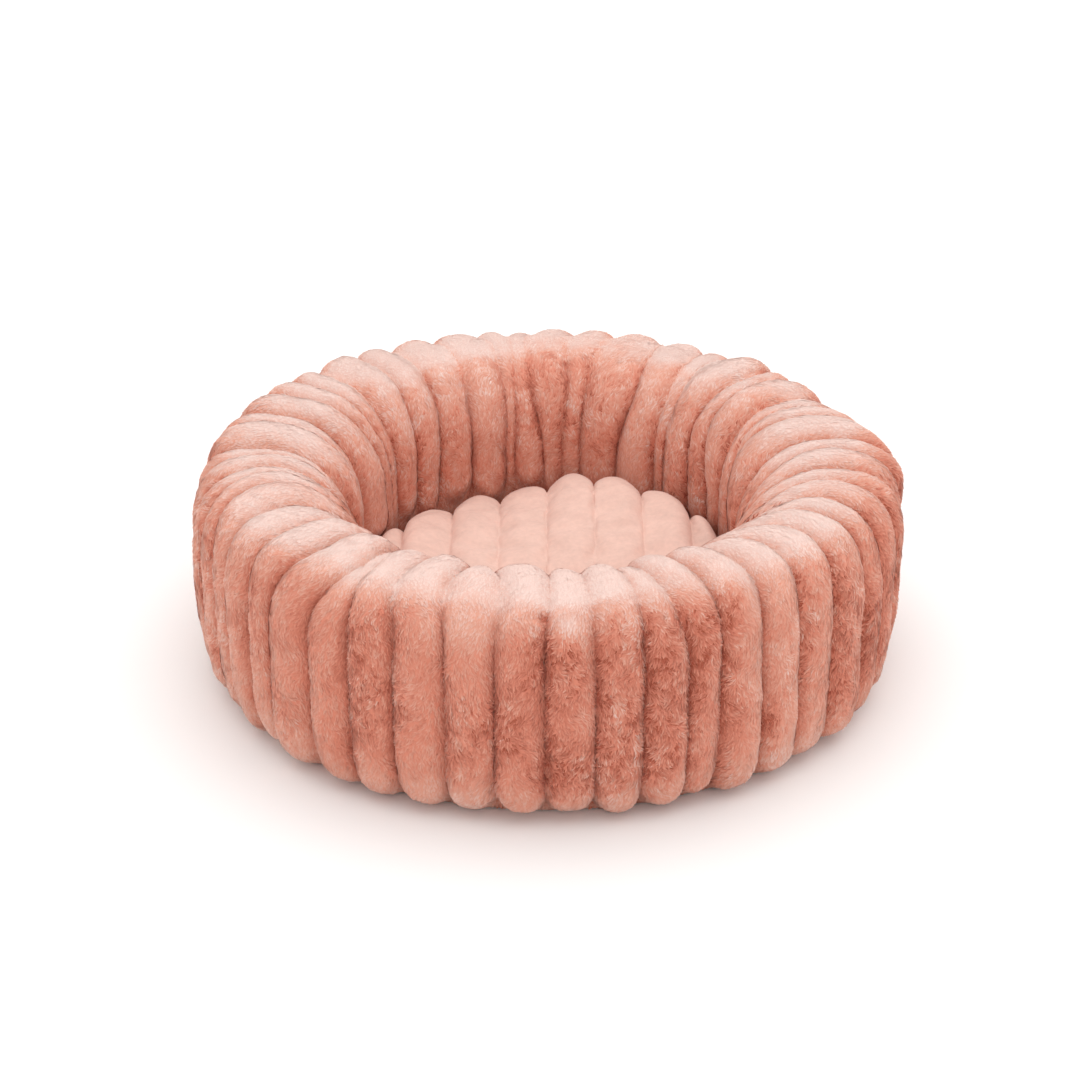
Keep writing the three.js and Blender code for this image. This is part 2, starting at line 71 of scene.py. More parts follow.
# Rib seams round the rim, in degrees from the front towards the right: where each one lies on the outer
# wall, on the crest, halfway down the inner wall and at its foot. Where two seams draw together, the rib
# between them is tucked in.
SEAMS = np.array([
    (-0.3, 0.5, 0.5, 0), (7.4, 7.5, 8, 8), (14.8, 15.8, 16, 15), (22, 20.5, 19, 18), (27.5, 28.8, 28.5, 27),
    (35.2, 38.5, 37, 35), (42.8, 47.5, 41, 38.5), (50.5, 57, 50, 46), (59.5, 65, 58.5, 54),
    (67, 72, 62, 57.5), (76, 79.5, 68.5, 63), (83.5, 84.5, 76, 69), (90.9, 94, 85, 76),
    (98.4, 99.3, 94, 85.5), (105.9, 110, 111, 99), (113.3, 116, 113.5, 102), (120.8, 119, 116.5, 113),
    (128.3, 128.5, 127.5, 120.5), (135.7, 132.5, 133, 130), (143.2, 143.5, 141.5, 141.5),
    (150.7, 147, 145, 145), (158.1, 156, 154.5, 158.5), (165.6, 168, 169, 170), (173.1, 176, 174, 175.5),
    (180.5, 185, 184.5, 180.5), (188, 188, 189, 190), (195.5, 192.3, 192, 192.5), (203, 202, 203, 204),
    (210.5, 212, 213, 215.5), (218, 219.5, 223, 223.8), (225.4, 230.5, 232.5, 232.5),
    (232.8, 236, 236.5, 235), (240.3, 242, 241.5, 240), (247.8, 251, 253.5, 256), (255.2, 254.5, 256.5, 259),
    (262.7, 265, 270, 271), (270.2, 268, 273, 274), (277.6, 273, 279, 279), (285.1, 276.5, 282, 283),
    (292.5, 283, 289, 292), (298.5, 293, 297, 299), (305.5, 302.3, 300.5, 302.5), (311.5, 313, 311, 312),
    (320.5, 323.5, 320.5, 322), (328.2, 325.5, 323, 325), (336, 331.5, 333, 334.5), (344.3, 341.5, 342, 343),
    (352, 352, 345.5, 347),
])
# Where the rim stands out or is pressed in: degrees from the front and how wide, degrees up the section from
# its outermost point and how wide, and how far in metres.
SWELLS = (
    (233, 12, 62, 50, 0.003), (253, 8, 60, 45, 0.003), (99, 7, 22, 22, 0.008), (80, 14, -35, 34, -0.005),
    (118, 10, 45, 40, -0.006), (305, 16, 122, 32, -0.005), (60, 16, 122, 32, -0.005),
    (268, 16, 5, 50, -0.004), (292, 11, -32, 34, -0.004), (152, 10, 80, 40, -0.004), (18, 14, 75, 40, 0.002),
    (336, 9, 70, 40, -0.002), (2.4, 2.2, 50, 10, 0.003), (-0.5, 1.0, 57, 5, -0.006),
)
# Where the ribs' tops are pressed flatter.
FLATTER = ((183, 46, 92, 36, 0.82),)
# Where the ribs touch further up their depth.
TOUCHING = (
    (185, 50, 85, 35, 0.36), (0, 32, 80, 28, 0.32), (265, 42, 20, 60, -0.06), (74, 36, 20, 60, -0.04),
    (0, 9999, 95, 40, -0.08),
)
# Where the fur is made paler or deeper, by the same four measures and the change in its share of pale. The
# rows stand partly for brushed nap and partly for painted light and shade, such as the paler foot at the
# front and the dark spot painted into the notch by the front seam.
NAP_AND_SHADING = (
    (3.6, 2.4, 49, 9, 0.30), (24, 6, 40, 30, -0.08), (350, 4, 20, 40, 0.04), (200, 8, 105, 30, 0.07),
    (182, 6, 120, 35, -0.05), (295, 28, 0, 50, 0.14), (46, 16, 10, 50, 0.15), (36, 8, 20, 40, 0.08),
    (278, 26, 15, 50, 0.09), (185, 38, 112, 24, -0.16), (0, 30, -60, 30, 0.08), (0, 10, 0, 40, -0.03),
    (74, 14, 0, 50, 0.05), (349, 6, 42, 16, 0.12), (-0.4, 0.8, 60, 5, -0.35),
)
CUSHION_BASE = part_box("cushion_bottom")[0][2]
QUARTERS = (("front", -6, 6), ("right", 6, 18), ("back", 18, 30), ("left", 30, 42))


def length_property(name, description, default):
    """A size that a user can change, in the scene's units of length."""
    return FloatProperty(name=name, description=description, default=default, unit="LENGTH")


def colour_property(name, description, default):
    """A colour that a user can change, as linear shares of red, green and blue."""
    description = f"{description}, linear"
    return FloatVectorProperty(name=name, description=description, default=default, size=3, subtype="COLOR")


class BedSizes(PropertyGroup):
    ring_radius: length_property("Ring radius", "Middle line of the rim", 0.229)
    half_wall: length_property("Half wall", "Half the rim's width, without its pile", 0.0685)
    height: length_property("Height", "Top of the rim, without its pile", 0.1855)
    widest: length_property("Widest height", "Height at which the rim is widest", 0.113)
    rib_depth: length_property("Rib depth", "From a seam to the top of a rib", 0.0118)
    foot_depth: length_property("Foot depth", "How much deeper the seams are at the foot", 0.010)
    rib_columns: IntProperty(name="Rib columns", description="Points across a rib", default=12)
    rib_rows: IntProperty(name="Rib rows", description="Points along a rib, from hem to hem", default=201)
    ground_radius: length_property("Ground cloth radius", "To the sleeve's outer hem", 0.2615)
    sleeve_thickness: length_property("Sleeve thickness", "Fur cloth without its pile", 0.0022)
    pile_length: length_property("Pile length", "Length of a tuft of fur", 0.0046)
    pile_width: length_property("Pile width", "Width of a tuft at its root", 0.0012)
    pile_count: IntProperty(name="Tufts", description="Tufts of fur on the whole rim", default=304000)
    ground_thickness: length_property("Ground cloth thickness", "Coated cloth under the bed", 0.0016)
    tape_thickness: length_property("Tape thickness", "Seam tape and zip tape", 0.0008)
    lining_thickness: length_property("Lining thickness", "Woven backing inside the sleeve", 0.0012)
    pad_edge: length_property("Pad edge", "How round the floor pad's edges are", 0.006)
    cushion_radius: length_property("Cushion radius", "To the tops of its channels' ends", 0.1545)
    cushion_height: length_property("Cushion height", "From the floor cloth to its crown", 0.070)
    cushion_crown: length_property("Cushion crown", "How much its middle stands above its shoulders", 0.004)
    plush_thickness: length_property("Plush thickness", "Cloth of the cushion's upper side", 0.0024)
    scallop: length_property("Scallop", "How far the channels' ends stand past the seams", 0.008)
    channel_pitch: length_property("Channel pitch", "From seam to seam on the cushion", 0.0415)
    channel_depth: length_property("Channel depth", "From a channel's top to its seam", 0.0050)


class BedColours(PropertyGroup):
    # The root colour is painted shade: the dark of the pile's roots, its cracks and its creases.
    root_shade_fur: colour_property("Root fur", "The darkest roots", (0.400, 0.082, 0.042))
    deep_fur: colour_property("Deep fur", "Fur on the walls", (0.690, 0.240, 0.158))
    warm_fur: colour_property("Warm fur", "Fur on the shoulders", (0.745, 0.365, 0.270))
    # The pale colour is painted light: the pale of the crest where light falls from above.
    crest_light_fur: colour_property("Pale fur", "Brushed fur on the crest", (0.820, 0.620, 0.560))
    cushion: colour_property("Cushion plush", "Smooth plush of the cushion", (0.765, 0.510, 0.430))
    cloth: colour_property("Backing cloth", "Woven lining and floor cloth", (0.62, 0.38, 0.31))
    ground: colour_property("Ground cloth", "Coated cloth underneath", (0.075, 0.068, 0.064))
    tape: colour_property("Tape", "Seam and zip tape", (0.55, 0.30, 0.24))
    metal: colour_property("Slider metal", "Painted zip metal", (0.48, 0.46, 0.43))


class Value:
    """A socket in a material that can be used in sums: each sum adds the Math node that works it out."""

    def __init__(self, finish, socket):
        self.finish = finish
        self.socket = socket

    def maths(self, operation, first, second):
        return self.finish.node("ShaderNodeMath", {"operation": operation}, {0: first, 1: second})

    def __add__(self, other):
        return self.maths("ADD", self, other)

    def __sub__(self, other):
        return self.maths("SUBTRACT", self, other)

    def __mul__(self, other):
        return self.maths("MULTIPLY", self, other)

    def sine(self):
        return self.maths("SINE", self, 0)


class Finish:
    """A material with one shader, and the one method that adds every other node to it."""

    def __init__(self, name, colour, roughness, metallic=0.0, sheen=0.0, sheen_tint=(1, 1, 1)):
        self.material = bpy.data.materials.new(name)
        self.material.use_nodes = True
        self.tree = self.material.node_tree
        self.shader = self.tree.nodes["Principled BSDF"]
        inputs = self.shader.inputs
        inputs["Base Color"].default_value = (*colour, 1)
        inputs["Roughness"].default_value = roughness
        inputs["Metallic"].default_value = metallic
        inputs["Sheen Weight"].default_value = sheen
        inputs["Sheen Tint"].default_value = (*sheen_tint, 1)
        inputs["Sheen Roughness"].default_value = 0.4

    def node(self, kind, settings=None, sockets=None, output=0):
        """Adds a node: its settings first, then a value or a link for each socket. Returns one of its
        outputs."""
        made = self.tree.nodes.new(kind)
        for name, value in (settings or {}).items():
            if name == "stops":
                for stop, (place, colour) in zip(self.stops(made, len(value)), value):
                    stop.position = place
                    stop.color = colour
            else:
                setattr(made, name, value)
        for name, value in (sockets or {}).items():
            if isinstance(value, Value):
                self.tree.links.new(value.socket, made.inputs[name])
            else:
                made.inputs[name].default_value = value
        return Value(self, made.outputs[output])

    def stops(self, ramp, count):
        elements = ramp.color_ramp.elements
        while len(elements) < count:
            elements.new(1)
        return elements

    def place(self):
        return self.node("ShaderNodeTexCoord", output="Object")

    def uv(self, part):
        coordinates = self.node("ShaderNodeUVMap", {"uv_map": "OFBake"})
        return self.node("ShaderNodeSeparateXYZ", sockets={0: coordinates}, output=part)

    def attribute(self, name):
        return self.node("ShaderNodeAttribute", {"attribute_name": name}, output="Fac")

    def noise(self, scale, detail=2.0, roughness=0.5, vector=None):
        sockets = {"Vector": vector or self.place(), "Scale": scale, "Detail": detail, "Roughness": roughness}
        return self.node("ShaderNodeTexNoise", sockets=sockets)

    def stretched(self, scale):
        return self.node("ShaderNodeMapping", sockets={"Vector": self.place(), "Scale": scale})

    def blend(self, share, low, high):
        """A colour between two others; the Mix node's colours are its sockets 6 and 7 and its output 2."""
        sockets = {"Factor": share, 6: low, 7: high}
        return self.node("ShaderNodeMix", {"data_type": "RGBA"}, sockets, output=2)

    def ramp(self, share, low, high):
        """A number from 0 to 1 as the share goes from low to high."""
        return self.node("ShaderNodeMapRange", sockets={0: share, 1: low, 2: high})

    def colour(self, value):
        self.tree.links.new(value.socket, self.shader.inputs["Base Color"])

    def roughness(self, value):
        self.tree.links.new(value.socket, self.shader.inputs["Roughness"])

    def bump(self, height, distance, strength=1.0):
        sockets = {"Height": height, "Distance": distance, "Strength": strength}
        normal = self.node("ShaderNodeBump", sockets=sockets)
        self.tree.links.new(normal.socket, self.shader.inputs["Normal"])


def rgba(colour, factor=1.0):
    """A colour made brighter or darker by a factor, with full opacity."""
    return tuple(min(1.0, part * factor) for part in colour) + (1.0,)


def unit(vectors):
    """Vectors of the same directions and of length 1."""
    return vectors / (np.linalg.norm(vectors, axis=-1, keepdims=True) + 1e-12)


def ease(share):
    """From 0 to 1 with a level start and end: 3t squared less 2t cubed."""
    share = np.clip(share, 0, 1)
    return share * share * (3 - 2 * share)


def lattice(corners, seed):
    """One number from 0 to 1 for each corner of a lattice, mixed from its three whole numbers and a seed."""
    x, y, z = (corners[..., i].astype(np.uint32) for i in range(3))
    mixed = x * np.uint32(374761393) + y * np.uint32(668265263) + z * np.uint32(2147483647)
    mixed = mixed + np.uint32(seed * 974711 % 4294967296)
    mixed = (mixed ^ (mixed >> np.uint32(13))) * np.uint32(1274126177)
    mixed = (mixed ^ (mixed >> np.uint32(16))) * np.uint32(2246822519)
    return (mixed ^ (mixed >> np.uint32(15))).astype(np.float64) / 4294967295


def lumps(points, size, seed):
    """Smooth noise from -1 to 1: the numbers at the eight lattice corners round each point, eased from one
    to the next by 3t squared less 2t cubed along each axis."""
    scaled = points / size + 1000
    cell = np.floor(scaled).astype(np.int64)
    part = ease(scaled - cell)
    total = 0
    for corner in np.ndindex(2, 2, 2):
        weight = np.prod(np.where(corner, part, 1 - part), axis=-1)
        total = total + weight * lattice(cell + np.array(corner), seed)
    return 2 * total - 1


def new_piece(name, points, quads, triangles=None, uv=None, attributes=None, sharp=None):
    """A mesh object from arrays: points (n, 3), quads (m, 4) and triangles (k, 3) of point numbers, uv for
    each point, named attributes for each point and sharp, a true or false for each point on a crease."""
    triangles = np.zeros((0, 3), np.int64) if triangles is None else triangles
    corners = np.concatenate([quads.ravel(), triangles.ravel()])
    used, corners = np.unique(corners, return_inverse=True)
    points = points[used]
    sizes = np.concatenate([np.full(len(quads), 4), np.full(len(triangles), 3)])
    starts = np.concatenate([[0], np.cumsum(sizes)[:-1]]).astype(np.int32)
    mesh = bpy.data.meshes.new(name)
    mesh.vertices.add(len(points))
    mesh.vertices.foreach_set("co", np.ascontiguousarray(points, np.float32).ravel())
    mesh.loops.add(len(corners))
    mesh.loops.foreach_set("vertex_index", corners.astype(np.int32))
    mesh.polygons.add(len(sizes))
    mesh.polygons.foreach_set("loop_start", starts)
    mesh.update(calc_edges=True)
    mesh.polygons.foreach_set("use_smooth", np.ones(len(sizes), bool))
    if uv is not None:
        layer = mesh.uv_layers.new(name="OFBake")
        layer.uv.foreach_set("vector", np.ascontiguousarray(uv[used][corners], np.float32).ravel())
    for key, values in (attributes or {}).items():
        layer = mesh.attributes.new(key, "FLOAT", "POINT")
        layer.data.foreach_set("value", np.ascontiguousarray(values[used], np.float32).ravel())
    if sharp is not None:
        ends = np.empty(len(mesh.edges) * 2, np.int32)
        mesh.edges.foreach_get("vertices", ends)
        both = sharp[used][ends.reshape(-1, 2)].all(axis=1)
        mesh.edges.foreach_set("use_edge_sharp", both)
    mesh.update()
    piece = bpy.data.objects.new(name, mesh)
    bpy.context.scene.collection.objects.link(piece)
    return piece


def weld(piece, reach=1e-6):
    """Joins points that lie on each other, as at a pole, and drops the faces that this leaves flat."""
    made = bmesh.new()
    made.from_mesh(piece.data)
    bmesh.ops.remove_doubles(made, verts=made.verts, dist=reach)
    made.to_mesh(piece.data)
    made.free()
    return piece


def grid_quads(rows, columns, wrap=False, closed=False, start=0):
    """Quads of a grid whose points are numbered row by row, facing columns crossed with rows; wrap joins the
    last column to the first, and closed the last row to the first."""
    down, across = rows - 1 + closed, columns - 1 + wrap
    i, j = np.meshgrid(np.arange(down), np.arange(across), indexing="ij")
    below, beside = (i + 1) % rows, (j + 1) % columns
    near, far = i * columns, below * columns
    quads = np.stack([near + j, near + beside, far + beside, far + j], axis=-1)
    return quads.reshape(-1, 4) + start


def plate(upper, lower, keep=None, wrap=False):
    """Points and quads of a closed solid between two grids of the same layout. The cells that keep leaves
    out are open, and a wall of quads stands on each edge where a kept cell has no kept neighbour."""
    rows, columns = upper.shape[:2]
    keep = np.ones((rows - 1, columns - 1 + wrap), bool) if keep is None else keep
    i, j = np.nonzero(keep)
    beside = (j + 1) % columns
    a, b = i * columns + j, i * columns + beside
    c, d = (i + 1) * columns + beside, (i + 1) * columns + j
    framed = np.pad(keep, ((1, 1), (0, 0)))
    framed = np.pad(framed, ((0, 0), (1, 1)), mode="wrap" if wrap else "constant")
    under = rows * columns
    faces = [np.stack([a, b, c, d], axis=1), np.stack([d, c, b, a], axis=1) + under]
    sides = (
        (a, b, framed[i, j + 1]), (b, c, framed[i + 1, j + 2]),
        (c, d, framed[i + 2, j + 1]), (d, a, framed[i + 1, j]),
    )
    for first, second, neighbour in sides:
        faces.append(np.stack([second, first, first + under, second + under], axis=1)[~neighbour])
    return np.concatenate([upper.reshape(-1, 3), lower.reshape(-1, 3)]), np.concatenate(faces)


def slab(name, upper, lower, keep=None, wrap=False):
    """A closed piece between two grids of the same layout, as plate makes it, with its poles welded."""
    points, quads = plate(upper, lower, keep, wrap)
    return weld(new_piece(name, points, quads))


def stand(radius, height, angles):
    """Points of a section carried round the bed's axis: radius * cos, radius * sin and height, for rows
    along the section and columns round the axis. Radius and height may also change from column to column."""
    radius = radius[:, None] if radius.ndim == 1 else radius
    height = height[:, None] if height.ndim == 1 else height
    parts = np.broadcast_arrays(radius * np.cos(angles), radius * np.sin(angles), height)
    return np.stack(parts, axis=-1)


def ring_angles(count):
    """Even steps round the bed's axis, from the front towards the right."""
    return FRONT + TURN * np.arange(count) / count


def swept(name, grid, ring=True):
    """A closed section, anticlockwise in radius and height, on a grid of (section points, places along). A
    ring joins its ends; a stretch has a fan of triangles over each."""
    rows, columns = grid.shape[:2]
    quads = grid_quads(rows, columns, wrap=ring, closed=True)
    fans = None
    if not ring:
        i = np.arange(1, rows - 1) * columns
        near = np.stack([0 * i, i, i + columns], axis=1)
        last = columns - 1
        fans = np.concatenate([near, near[:, ::-1] + last])
    return new_piece(name, grid.reshape(-1, 3), quads, fans)


def tube(name, path, side, wire, sides):
    """A wire along a path: each point's ring is wire * (cos b * side + sin b * (side x tangent)), closed by
    fans."""
    tangent = unit(np.gradient(path, axis=0))
    side = unit(side - tangent * np.sum(side * tangent, axis=-1, keepdims=True))
    other = np.cross(side, tangent)
    b = (TURN * np.arange(sides) / sides)[:, None, None]
    return swept(name, path + wire * (np.cos(b) * side + np.sin(b) * other), ring=False)


def stitches(name, places, along, up, length, wire):
    """A row of stitches, one at each place: five rings of four points on a low arch, each end closed by a
    quad."""
    share = np.linspace(-1, 1, 5)
    lift = wire * (1 - 1.6 * share ** 2)
    thick = wire * np.sqrt(1.06 - share ** 2)
    across = unit(np.cross(up, along))
    middle = places[:, None] + along[:, None] * (share * length / 2)[:, None] + up[:, None] * lift[:, None]
    corners = ((1, 0), (0, -1), (-1, 0), (0, 1))
    rings = [middle + thick[:, None] * (a * across[:, None] + b * up[:, None]) for a, b in corners]
    points = np.stack(rings, axis=1)
    one = grid_quads(4, 5, closed=True)
    ends = np.array([[0, 5, 10, 15], [19, 14, 9, 4]])
    block = np.concatenate([one, ends])
    quads = (block[None] + 20 * np.arange(len(places))[:, None, None]).reshape(-1, 4)
    return new_piece(name, points.reshape(-1, 3), quads)


def fit_out(piece, finish, body, nodes):
    """What every piece says of itself: its finish, its body, and the nodes that it stands for, which are
    hidden."""
    piece.data.materials.append(finish)
    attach(piece, body)
    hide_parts(*nodes)


def rim_section(sizes, rows):
    """The rim's section at even steps of its own length, from the outer hem over the crest to the inner hem:
    a superellipse, radius = ring + half * cos^(2/p), height = widest + rise * sin^(2/p), with its power p
    and rise changing from quarter to quarter. Returns radius, height, the outward normal's two parts, and
    the degrees up from the outermost point."""
    angle = np.radians(np.linspace(-64, 244, 1600))
    across, up = np.cos(angle), np.sin(angle)
    power = np.where(up < 0, 4.4, np.where(across < 0, 2.1, 3.0))
    radius = sizes.ring_radius + sizes.half_wall * np.sign(across) * np.abs(across) ** (2 / power)
    rise = np.where(up < 0, -sizes.widest, sizes.height - sizes.widest)
    height = sizes.widest + rise * np.abs(up) ** (2 / power)
    hem = height[0]
    height = np.where(up < 0, (height - hem) * sizes.widest / (sizes.widest - hem), height)
    tucked_under, tuck_inward = 0.022, 0.010
    tuck = np.clip((tucked_under - height) / tucked_under, 0, 1) ** 2
    radius = radius - tuck_inward * tuck * np.sign(across)
    length = np.concatenate([[0], np.cumsum(np.hypot(np.diff(radius), np.diff(height)))])
    even = np.linspace(0, length[-1], rows)
    radius, height = np.interp(even, length, radius), np.interp(even, length, height)
    dr, dz = np.gradient(radius), np.gradient(height)
    scale = np.hypot(dr, dz)
    degrees = np.degrees(np.interp(even, length, angle))
    return radius, height, dz / scale, -dr / scale, degrees


def valley_depth(sizes, section):
    """How far the seams lie under the rim's outline: at most 0.7 of half a rib's width, deeper near the
    ground outside, and nothing at the hems. Returns it, the foot's part in it, and each place's share of the
    way from the nearer hem to the full depth."""
    radius, height, _, _, degrees = section
    rows = len(radius)
    along = np.arange(rows) / (rows - 1)
    end = np.clip(np.minimum(along, 1 - along) / 0.05, 0, 1)
    foot = sizes.foot_depth * np.clip(1 - height / 0.034, 0, 1) ** 1.5 * (degrees < CREST)
    plain = np.minimum(sizes.rib_depth, 0.7 * math.pi * radius / RIBS)
    return (plain + foot) * np.sqrt(1 - (1 - end) ** 2), foot, end


def inside_line(sizes, rows, inset):
    """The rim's section drawn in by the depth of its seams and an inset, with its ends on the ground
    cloth."""
    section = rim_section(sizes, rows)
    radius, height, out_r, out_z, _ = section
    inward = valley_depth(sizes, section)[0] + inset
    ground = sizes.ground_thickness + sizes.tape_thickness + 2 * HAIR
    return radius - inward * out_r, np.maximum(height - inward * out_z, ground)


def seam_angles(degrees):
    """Each seam's angle at each place on the section: straight between the places that SEAMS gives, then
    eased by a running mean along the rib. Returns (places, seams) in radians."""
    stations = np.array([-30, 22, 88, 140, 186])
    known = np.hstack([SEAMS[:, :1], SEAMS])
    lines = np.stack([np.interp(degrees, stations, row) for row in known], axis=1)
    count = len(degrees) // 9
    kernel = np.hanning(count + 2)[1:-1]
    padded = np.pad(lines, ((count // 2, count - 1 - count // 2), (0, 0)), mode="edge")
    eased = np.stack([np.convolve(line, kernel / kernel.sum(), mode="valid") for line in padded.T], axis=1)
    return np.radians(eased) + FRONT


def turned_from(angles, place):
    """How far each angle is turned from a place, from half a turn backwards to half a turn forwards."""
    return np.angle(np.exp(1j * (angles - place)))


def bells(table, angle, degrees):
    """The sum of a table's rows: each is reach * exp(-(off / wide)^2 - (rise / tall)^2) round its place."""
    total = 0
    for place, wide, up, tall, reach in table:
        off = np.degrees(turned_from(angle - FRONT, math.radians(place)))
        total = total + reach * np.exp(-((off / wide) ** 2) - ((degrees - up) / tall) ** 2)
    return total


def rib_surface(sizes, first, last, inset=0.0):
    """The furry skin of some ribs, as a grid of (rows, ribs, columns + 1) points, with their places across a
    rib, how much they face the painted light from above and a little behind, and how much the table of
    brushed nap and painted light and shade makes them paler or deeper. Along a rib a point follows the rim's
    section.
    Across it the place runs from -1 at one seam to 1 at the next, and the skin stands out by depth * (1 -
    |place|^(2.4 - 0.3 s))^(0.54 + 0.24 s), a flattened arch that is rounder near the crest, with s =
    exp(-((degrees - 95) / 50)^2). The depth follows the rib's width, slow lumps swell it, and it shrinks to
    a toe at the foot of the inner wall. Neighbours touch part of the way up their seam, so what stands out
    is ((depth * arch)^4 + (touch * valley)^4)^(1/4), less the seam's depth. A lean shifts each rib's top
    along the ring."""
    rows, columns = sizes.rib_rows, sizes.rib_columns
    section = rim_section(sizes, rows)
    seams = seam_angles(section[-1])
    valley, foot, end = (part[:, None, None] for part in valley_depth(sizes, section))
    radius, height, out_r, out_z, degrees = (part[:, None, None] for part in section)
    ribs = np.arange(first, last)
    left = np.take(seams, ribs % RIBS, axis=1) + TURN * (ribs // RIBS)
    right = np.take(seams, (ribs + 1) % RIBS, axis=1) + TURN * ((ribs + 1) // RIBS)
    across = -np.cos(np.pi * np.arange(columns + 1) / columns)
    middle, half = (left + right) / 2, (right - left) / 2
    angle = middle[:, :, None] + half[:, :, None] * across
    width = half[:, :, None] * radius
    number = (ribs % RIBS)[None, :, None]
    along = np.arange(rows)[:, None, None] / rows
    wander = lumps(np.stack(np.broadcast_arrays(number * 7.3, along * 5.5, 0.0), -1), 1.0, 3)
    swell = lumps(np.stack(np.broadcast_arrays(number * 3.7, along * 9.0, across * 0.8), -1), 1.0, 5)
    depth = np.minimum(0.70 * width, sizes.rib_depth + 0.10 * width) + foot
    depth = depth * (1 + 0.16 * swell)
    depth = np.minimum(depth, sizes.rib_depth * (1.3 - bells(FLATTER, angle, degrees)) + foot)
    depth = depth * np.sqrt(1 - (1 - end) ** 2)
    toe = ease((0.076 + 0.006 * np.sin(number * 2.4) + 0.014 * across ** 2 - height) / 0.022)
    depth = depth * (1 - 0.75 * toe * (degrees > INNER_WALL))
    softer = np.exp(-(((degrees - 95) / 50) ** 2))
    arch = (1 - np.abs(across) ** (2.4 - 0.3 * softer)).clip(0) ** (0.54 + 0.24 * softer)
    touch = SEAM_TOUCH + bells(TOUCHING, angle, degrees)
    rise = ((depth * arch) ** 4 + (touch * valley) ** 4) ** 0.25
    swelling = end * bells(SWELLS, angle, degrees)
    lift = rise - valley - inset + np.where(swelling < 0, swelling * arch, swelling)
    lowest = np.where(degrees > INNER_WALL, sizes.ground_thickness + 3 * HAIR, 2 * HAIR)
    r = radius + lift * out_r
    z = np.maximum(height + lift * out_z, lowest + inset)
    turned = angle + 0.35 * wander * depth * arch / r
    points = np.stack([r * np.cos(turned), r * np.sin(turned), z], axis=-1)
    # Painted light: slope is how much the skin faces a light from above that leans towards the back of the
    # bed, tilted by 3 + 9 cos of the angle from the front.
    tilt = np.radians(3 + 9 * np.cos(angle - FRONT))
    slope = out_z * np.cos(tilt) - out_r * np.sin(tilt)
    return points, across, slope, bells(NAP_AND_SHADING, angle, degrees)


def grid_normals(points):
    """Outward normals of a grid of points (rows, ribs, columns): the cross product of its two directions."""
    down = np.gradient(points, axis=0)
    over = np.gradient(points, axis=2)
    return unit(np.cross(over, down))


def fur_tint_and_shading(points, normals, slope, nap_and_shading, across):
    """How pale the fur is, from 0 deep to 1 pale, with light and shade painted in. The walls' share is
    mottled by slow noise, and painted light makes it paler on the inner wall and at the outer foot; where the
    fur faces up, towards a light from above and a little behind, it lies smooth and is painted pale, by 0.35
    * ease(up) + 0.65 * up^8 of what is left. The creases are painted deeper as shade, and each rib is painted
    paler on its side turned away from the camera, as painted sheen."""
    patches = lumps(points, 0.038, 11) * 0.5 + lumps(points * [1, 1, 0.6], 0.013, 12) * 0.5
    drift = lumps(points * [1, 1, 0.5], 0.060, 14)
    # Painted light: up is how much the fur faces the light from above, made ragged by noise; crest is the
    # pale that this light paints.
    up = np.clip(0.85 * slope + 0.15 * normals[..., 2] + 0.06 * patches + 0.08 * drift + 0.03, 0, 1)
    crest = 0.35 * ease(up) + 0.65 * up ** 8
    from_axis = np.hypot(points[..., 0], points[..., 1])
    inside = ease((0.225 - from_axis) / 0.035)
    low = ease((0.062 - points[..., 2]) / 0.050)
    # Painted light: the wall is paler on the inner wall and at the outer foot, by inside and low.
    wall = 0.43 + 0.07 * patches + 0.06 * drift + 0.15 * inside + 0.20 * low * (1 - inside)
    # Painted shade: the fur is deeper in the creases between ribs.
    crease = 0.13 * np.abs(across) ** 4 * (1 - crest) + 0.16 * np.abs(across) ** 5 * crest
    # Painted sheen: each rib is paler on its side turned away from the camera.
    side_sheen = 0.13 * (points[..., 0] / from_axis) * across * (0.4 + 0.6 * np.abs(across))
    return np.clip(wall + (1 - wall) * crest + nap_and_shading + side_sheen - crease, 0, 1)


def at_spots(field, rows, ribs, columns, share_down, share_over):
    """A grid's values between its points: the four corners of each spot's cell, weighed by the spot's
    shares."""
    a, b = share_down, share_over
    if field.ndim == 4:
        a, b = a[:, None], b[:, None]
    top = field[rows, ribs, columns] * (1 - b) + field[rows, ribs, columns + 1] * b
    low = field[rows + 1, ribs, columns] * (1 - b) + field[rows + 1, ribs, columns + 1] * b
    return top * (1 - a) + low * a


